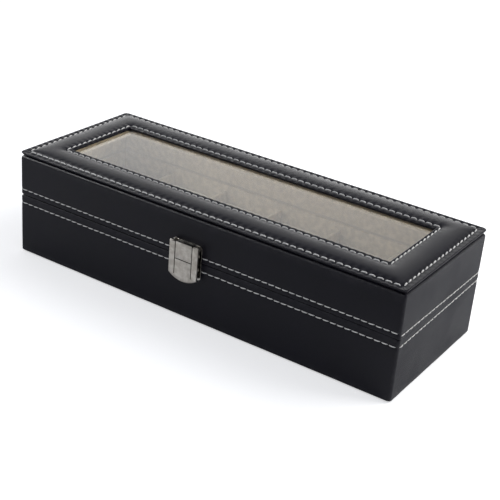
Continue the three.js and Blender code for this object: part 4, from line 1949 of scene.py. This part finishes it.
        # The keeper plate under the flap wears the dark painted-shade finish
        wardrobe.dress(keeper, Slot.NICKEL, wardrobe.painted_shade_plate)
        return [flap, plate, keeper]


@dataclass(frozen=True)
class Hinges:
    """The two hinges on the back."""

    ease: float = 0.18 * MM

    def build(self, wardrobe: Wardrobe) -> list[Object]:
        """Makes the hinge leaves.

        Args:
            wardrobe: The finishes.

        Returns:
            The pieces.
        """
        pieces = []
        for side in ("left", "right"):
            for leaf, body in (("base", Body.BASE), ("lid", Body.LID)):
                node = f"{side}_hinge_{leaf}_leaf"
                piece = eased_node(node, "nickel", self.ease, 2)
                pieces.append(settle(piece, body.value, Slot.NICKEL, wardrobe, [node]))
        return pieces


@dataclass(frozen=True)
class CarriedNodes:
    """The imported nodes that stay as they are, each with its finish."""

    slots: dict[str, Slot]

    def build(self, wardrobe: Wardrobe) -> list[Object]:
        """Dresses the nodes that still show.

        Args:
            wardrobe: The finishes.

        Returns:
            The nodes.
        """
        shown = {name: node for name, node in frame["nodes"].items() if not node.hide_render}
        for name, node in shown.items():
            wardrobe.dress(node, self.slots[name])
        return list(shown.values())


# Studio


@dataclass(frozen=True)
class Camera:
    """The camera at the photograph's viewing angle, with its focal length in pixels of the frame."""

    focal_pixels: float = 1142.0
    frame_pixels: float = 500.0
    sensor_width: float = 36.0
    azimuth: float = 31.944
    elevation: float = 26.101
    roll: float = 5.016
    distance: float = 851.1 * MM
    target: tuple[float, float, float] = (-28.056 * MM, 57.514 * MM, 0.0)
    clip: tuple[float, float] = (50.0 * MM, 20000.0 * MM)

    def build(self) -> None:
        """Makes the camera and gives it to the scene."""
        a, e, roll = (math.radians(v) for v in (self.azimuth, self.elevation, self.roll))
        back = Vector((math.sin(a) * math.cos(e), -math.cos(a) * math.cos(e), math.sin(e)))
        right = Vector((math.cos(a), math.sin(a), 0.0))
        up = back.cross(right)
        turned_right = right * math.cos(roll) + up * math.sin(roll)
        turned_up = up * math.cos(roll) - right * math.sin(roll)
        lens = bpy.data.cameras.new("camera")
        lens.sensor_width = self.sensor_width
        lens.lens = self.focal_pixels / self.frame_pixels * self.sensor_width
        lens.clip_start, lens.clip_end = self.clip
        camera = placed("camera", lens)
        axes = Matrix((turned_right, turned_up, back)).transposed().to_4x4()
        camera.matrix_world = Matrix.Translation(Vector(self.target) + back * self.distance) @ axes
        bpy.context.scene.camera = camera


@dataclass(frozen=True)
class Lamp:
    """A soft square lamp that shines at the box and that the camera doesn't see.

    reflected tells whether glossy surfaces show it, and diffused whether it lights matt ones. falls_on names
    the only pieces that it lights, if it doesn't light them all.
    """

    name: str
    place: tuple[float, float, float]
    width: float
    watts: float
    reflected: bool = True
    diffused: bool = True
    falls_on: tuple[str, ...] = ()
    aim: tuple[float, float, float] = (0.0, 0.0, 40.0 * MM)

    def build(self) -> None:
        """Makes the lamp."""
        light = bpy.data.lights.new(self.name, "AREA")
        light.shape = "SQUARE"
        light.size = self.width
        light.energy = self.watts
        lamp = placed(self.name, light)
        lamp.location = self.place
        lamp.rotation_mode = "QUATERNION"
        lamp.rotation_quaternion = (Vector(self.aim) - Vector(self.place)).to_track_quat("-Z", "Y")
        lamp.visible_camera = False
        lamp.visible_glossy = lamp.visible_transmission = self.reflected
        lamp.visible_diffuse = self.diffused
        if self.falls_on:
            lit = bpy.data.collections.new(f"{self.name}_falls_on")
            for piece in self.falls_on:
                lit.objects.link(bpy.data.objects[piece])
            lamp.light_linking.receiver_collection = lit


@dataclass(frozen=True)
class Backdrop:
    """The world: white to the camera, and to the box a bright sweep behind it and dimmer elsewhere.

    The spans map one part of a direction of length 1. The sweep lies behind the box and low down. matt_light
    and what matt_sweep adds to it light the box, and the mirrored values are what its satin surfaces show.
    """

    behind: Span = Span(-0.35, 0.45, 0.0, 1.0)
    low_down: Span = Span(0.4, 0.8, 1.0, 0.0)
    matt_light: float = 0.42
    matt_sweep: float = 0.55
    mirrored_light: float = 0.43
    mirrored_height: Span = Span(0.02, 0.62, 1.65, 0.0)
    mirrored_rightwards: Span = Span(-0.42, -0.1, 1.0, 0.5)
    cool: Colour = (0.86, 0.9, 1.0, 1.0)

    def build(self) -> None:
        """Makes the world."""
        world = bpy.data.worlds.new("studio")
        world.use_nodes = True
        bpy.context.scene.world = world
        graph = Graph(world.node_tree)
        heading = graph.node("ShaderNodeTexCoord").outputs["Generated"]
        parts = graph.node("ShaderNodeSeparateXYZ", {0: heading})
        behind = graph.ramp(parts.outputs["Y"], *self.behind)
        sweep = graph.product(behind, graph.ramp(parts.outputs["Z"], *self.low_down))
        plain = graph.math("MULTIPLY_ADD", sweep, self.matt_sweep, self.matt_light)
        height = graph.ramp(parts.outputs["Z"], *self.mirrored_height)
        rightwards = graph.ramp(parts.outputs["X"], *self.mirrored_rightwards)
        mirrored = graph.product(graph.math("MULTIPLY_ADD", height, behind, self.mirrored_light), rightwards)
        path = graph.node("ShaderNodeLightPath")
        glossy = path.outputs["Is Glossy Ray"]
        matt = graph.math("SUBTRACT", 1.0, glossy)
        strength = graph.math("MULTIPLY_ADD", mirrored, glossy, graph.product(plain, matt))
        tone = graph.blend(sweep, self.cool, WHITE)
        around = graph.node("ShaderNodeBackground", {"Color": tone, "Strength": strength})
        seen = graph.node("ShaderNodeBackground", {"Color": WHITE, "Strength": 1.0})
        mixed = graph.node(
            "ShaderNodeMixShader",
            {0: path.outputs["Is Camera Ray"], 1: around.outputs[0], 2: seen.outputs[0]},
        )
        graph.node("ShaderNodeOutputWorld", {"Surface": mixed.outputs[0]})


@dataclass(frozen=True)
class Floor:
    """The floor, which stays pale to the camera and keeps the box's shadow.

    glow is the light that it gives of itself to the camera. The box's satin surfaces mirror it brighter
    behind the box, and darker in front of it and off its right end, over the stretches that the spans give.
    """

    size: float = 6.0
    drop: float = 0.2 * MM
    paleness: float = 0.8
    glow: float = 0.54
    mirrored_behind: Span = Span(0.16, 0.75, 0.0, 1.2)
    dark_rightwards: Span = Span(-0.15, 0.06, 0.2, 0.45)
    dark_in_front: Span = Span(-0.17, -0.12, 1.0, 0.0)
    dark_off_end: Span = Span(0.14, 0.2, 0.0, 0.2)
    dark_backwards: Span = Span(0.02, 0.1, 0.0, 1.0)

    def build(self) -> None:
        """Makes the floor."""
        mesh_edit = bmesh.new()
        bmesh.ops.create_grid(mesh_edit, x_segments=1, y_segments=1, size=self.size)
        bmesh.ops.translate(mesh_edit, vec=Vector((0.0, 0.0, -self.drop)), verts=mesh_edit.verts[:])
        floor = object_from(mesh_edit, "studio_floor")
        material, graph, shader = new_material("pale_floor", toned(WHITE, self.paleness))
        path = graph.node("ShaderNodeLightPath")
        glossy = path.outputs["Is Glossy Ray"]
        place = graph.node("ShaderNodeSeparateXYZ", {0: graph.place()})
        x, y = place.outputs["X"], place.outputs["Y"]
        front = graph.product(graph.ramp(x, *self.dark_rightwards), graph.ramp(y, *self.dark_in_front))
        end = graph.product(graph.ramp(x, *self.dark_off_end), graph.ramp(y, *self.dark_backwards))
        dimmed = graph.product(graph.math("ADD", front, end), glossy)
        seen = graph.product(path.outputs["Is Camera Ray"], self.glow)
        behind = graph.ramp(y, *self.mirrored_behind)
        graph.feed(shader, {
            "Base Color": graph.math("SUBTRACT", self.paleness, dimmed),
            "Roughness": 1.0,
            "Specular IOR Level": 0.0,
            "Emission Color": WHITE,
            "Emission Strength": graph.math("MULTIPLY_ADD", behind, glossy, seen),
        })
        floor.data.materials.append(material)


@dataclass(frozen=True)
class Studio:
    """The camera, the soft lamps, the backdrop and the pale floor."""

    camera: Camera = Camera()
    lamps: tuple[Lamp, ...] = (
        Lamp("soft_key", (0.9, 0.7, 1.1), width=0.9, watts=13.0, reflected=False),
        Lamp("soft_edge_light", (-1.3, -0.75, 1.25), width=0.6, watts=4.5),
        Lamp(
            "edge_glint", (-0.45, -0.217, 0.405), width=0.1, watts=2.1, diffused=False,
            falls_on=("lid_leather", "padded_frame_leather"),
        ),
    )
    backdrop: Backdrop = Backdrop()
    floor: Floor = Floor()

    def build(self) -> None:
        """Sets up the studio."""
        for thing in (self.camera, *self.lamps, self.backdrop, self.floor):
            thing.build()
        bpy.context.scene.view_settings.view_transform = "Standard"


def finish_slots() -> dict[str, Slot]:
    """Reads each node's finish from the record."""
    return {part["node"]: Slot(part["material_slot"]) for part in frame["record"]["subparts"]}


def main() -> None:
    """Builds every sub-assembly in order and reports each piece."""
    logging.basicConfig(level=logging.INFO, format="%(name)s: %(message)s")
    wardrobe = Wardrobe.stitched(Effects())
    sub_assemblies = [
        WallSkin(
            "base_leather_wrap", "base_leather", Body.BASE,
            seam_level=38.2 * MM, turned_in=(12.0 * MM, 5.3 * MM), rounds=(0.9 * MM, 1.1 * MM),
            drift=((0.0, 0.0), (0.0, 1.8 * MM), (1.4 * MM, 0.2 * MM), (0.2 * MM, 0.0)),
        ),
        WallSkin(
            "lid_leather_wrap", "lid_leather", Body.LID,
            seam_level=48.3 * MM, turned_in=(4.8 * MM, 4.8 * MM), rounds=(1.1 * MM, 1.9 * MM),
            drift=((0.0, -0.9 * MM), (-2.3 * MM, -2.6 * MM), (-2.0 * MM, 0.0), (0.0, 0.0)),
            soft_corners=(2.0 * MM, -1.0 * MM),
        ),
        PaddedFrame(),
        LidFacing(),
        CoveredBoards(
            [f"tray_{side}_liner" for side in ("front", "back", "left", "right")]
            + [f"divider_{i}" for i in range(1, 6)] + ["tray_floor_pad"],
            Body.BASE,
        ),
        CoveredBoards(
            [f"lid_{side}_liner" for side in ("front", "back", "left", "right")] + ["glass_retaining_frame"],
            Body.LID,
        ),
        Cushions(),
        Clasp(),
        Hinges(),
        CarriedNodes(finish_slots()),
    ]
    for assembly in sub_assemblies:
        for piece in assembly.build(wardrobe):
            finish = piece.active_material.name
            LOG.info("%s in %s: %d faces", piece.name, finish, len(piece.data.polygons))
    Studio().build()


if __name__ == "__main__":
    main()
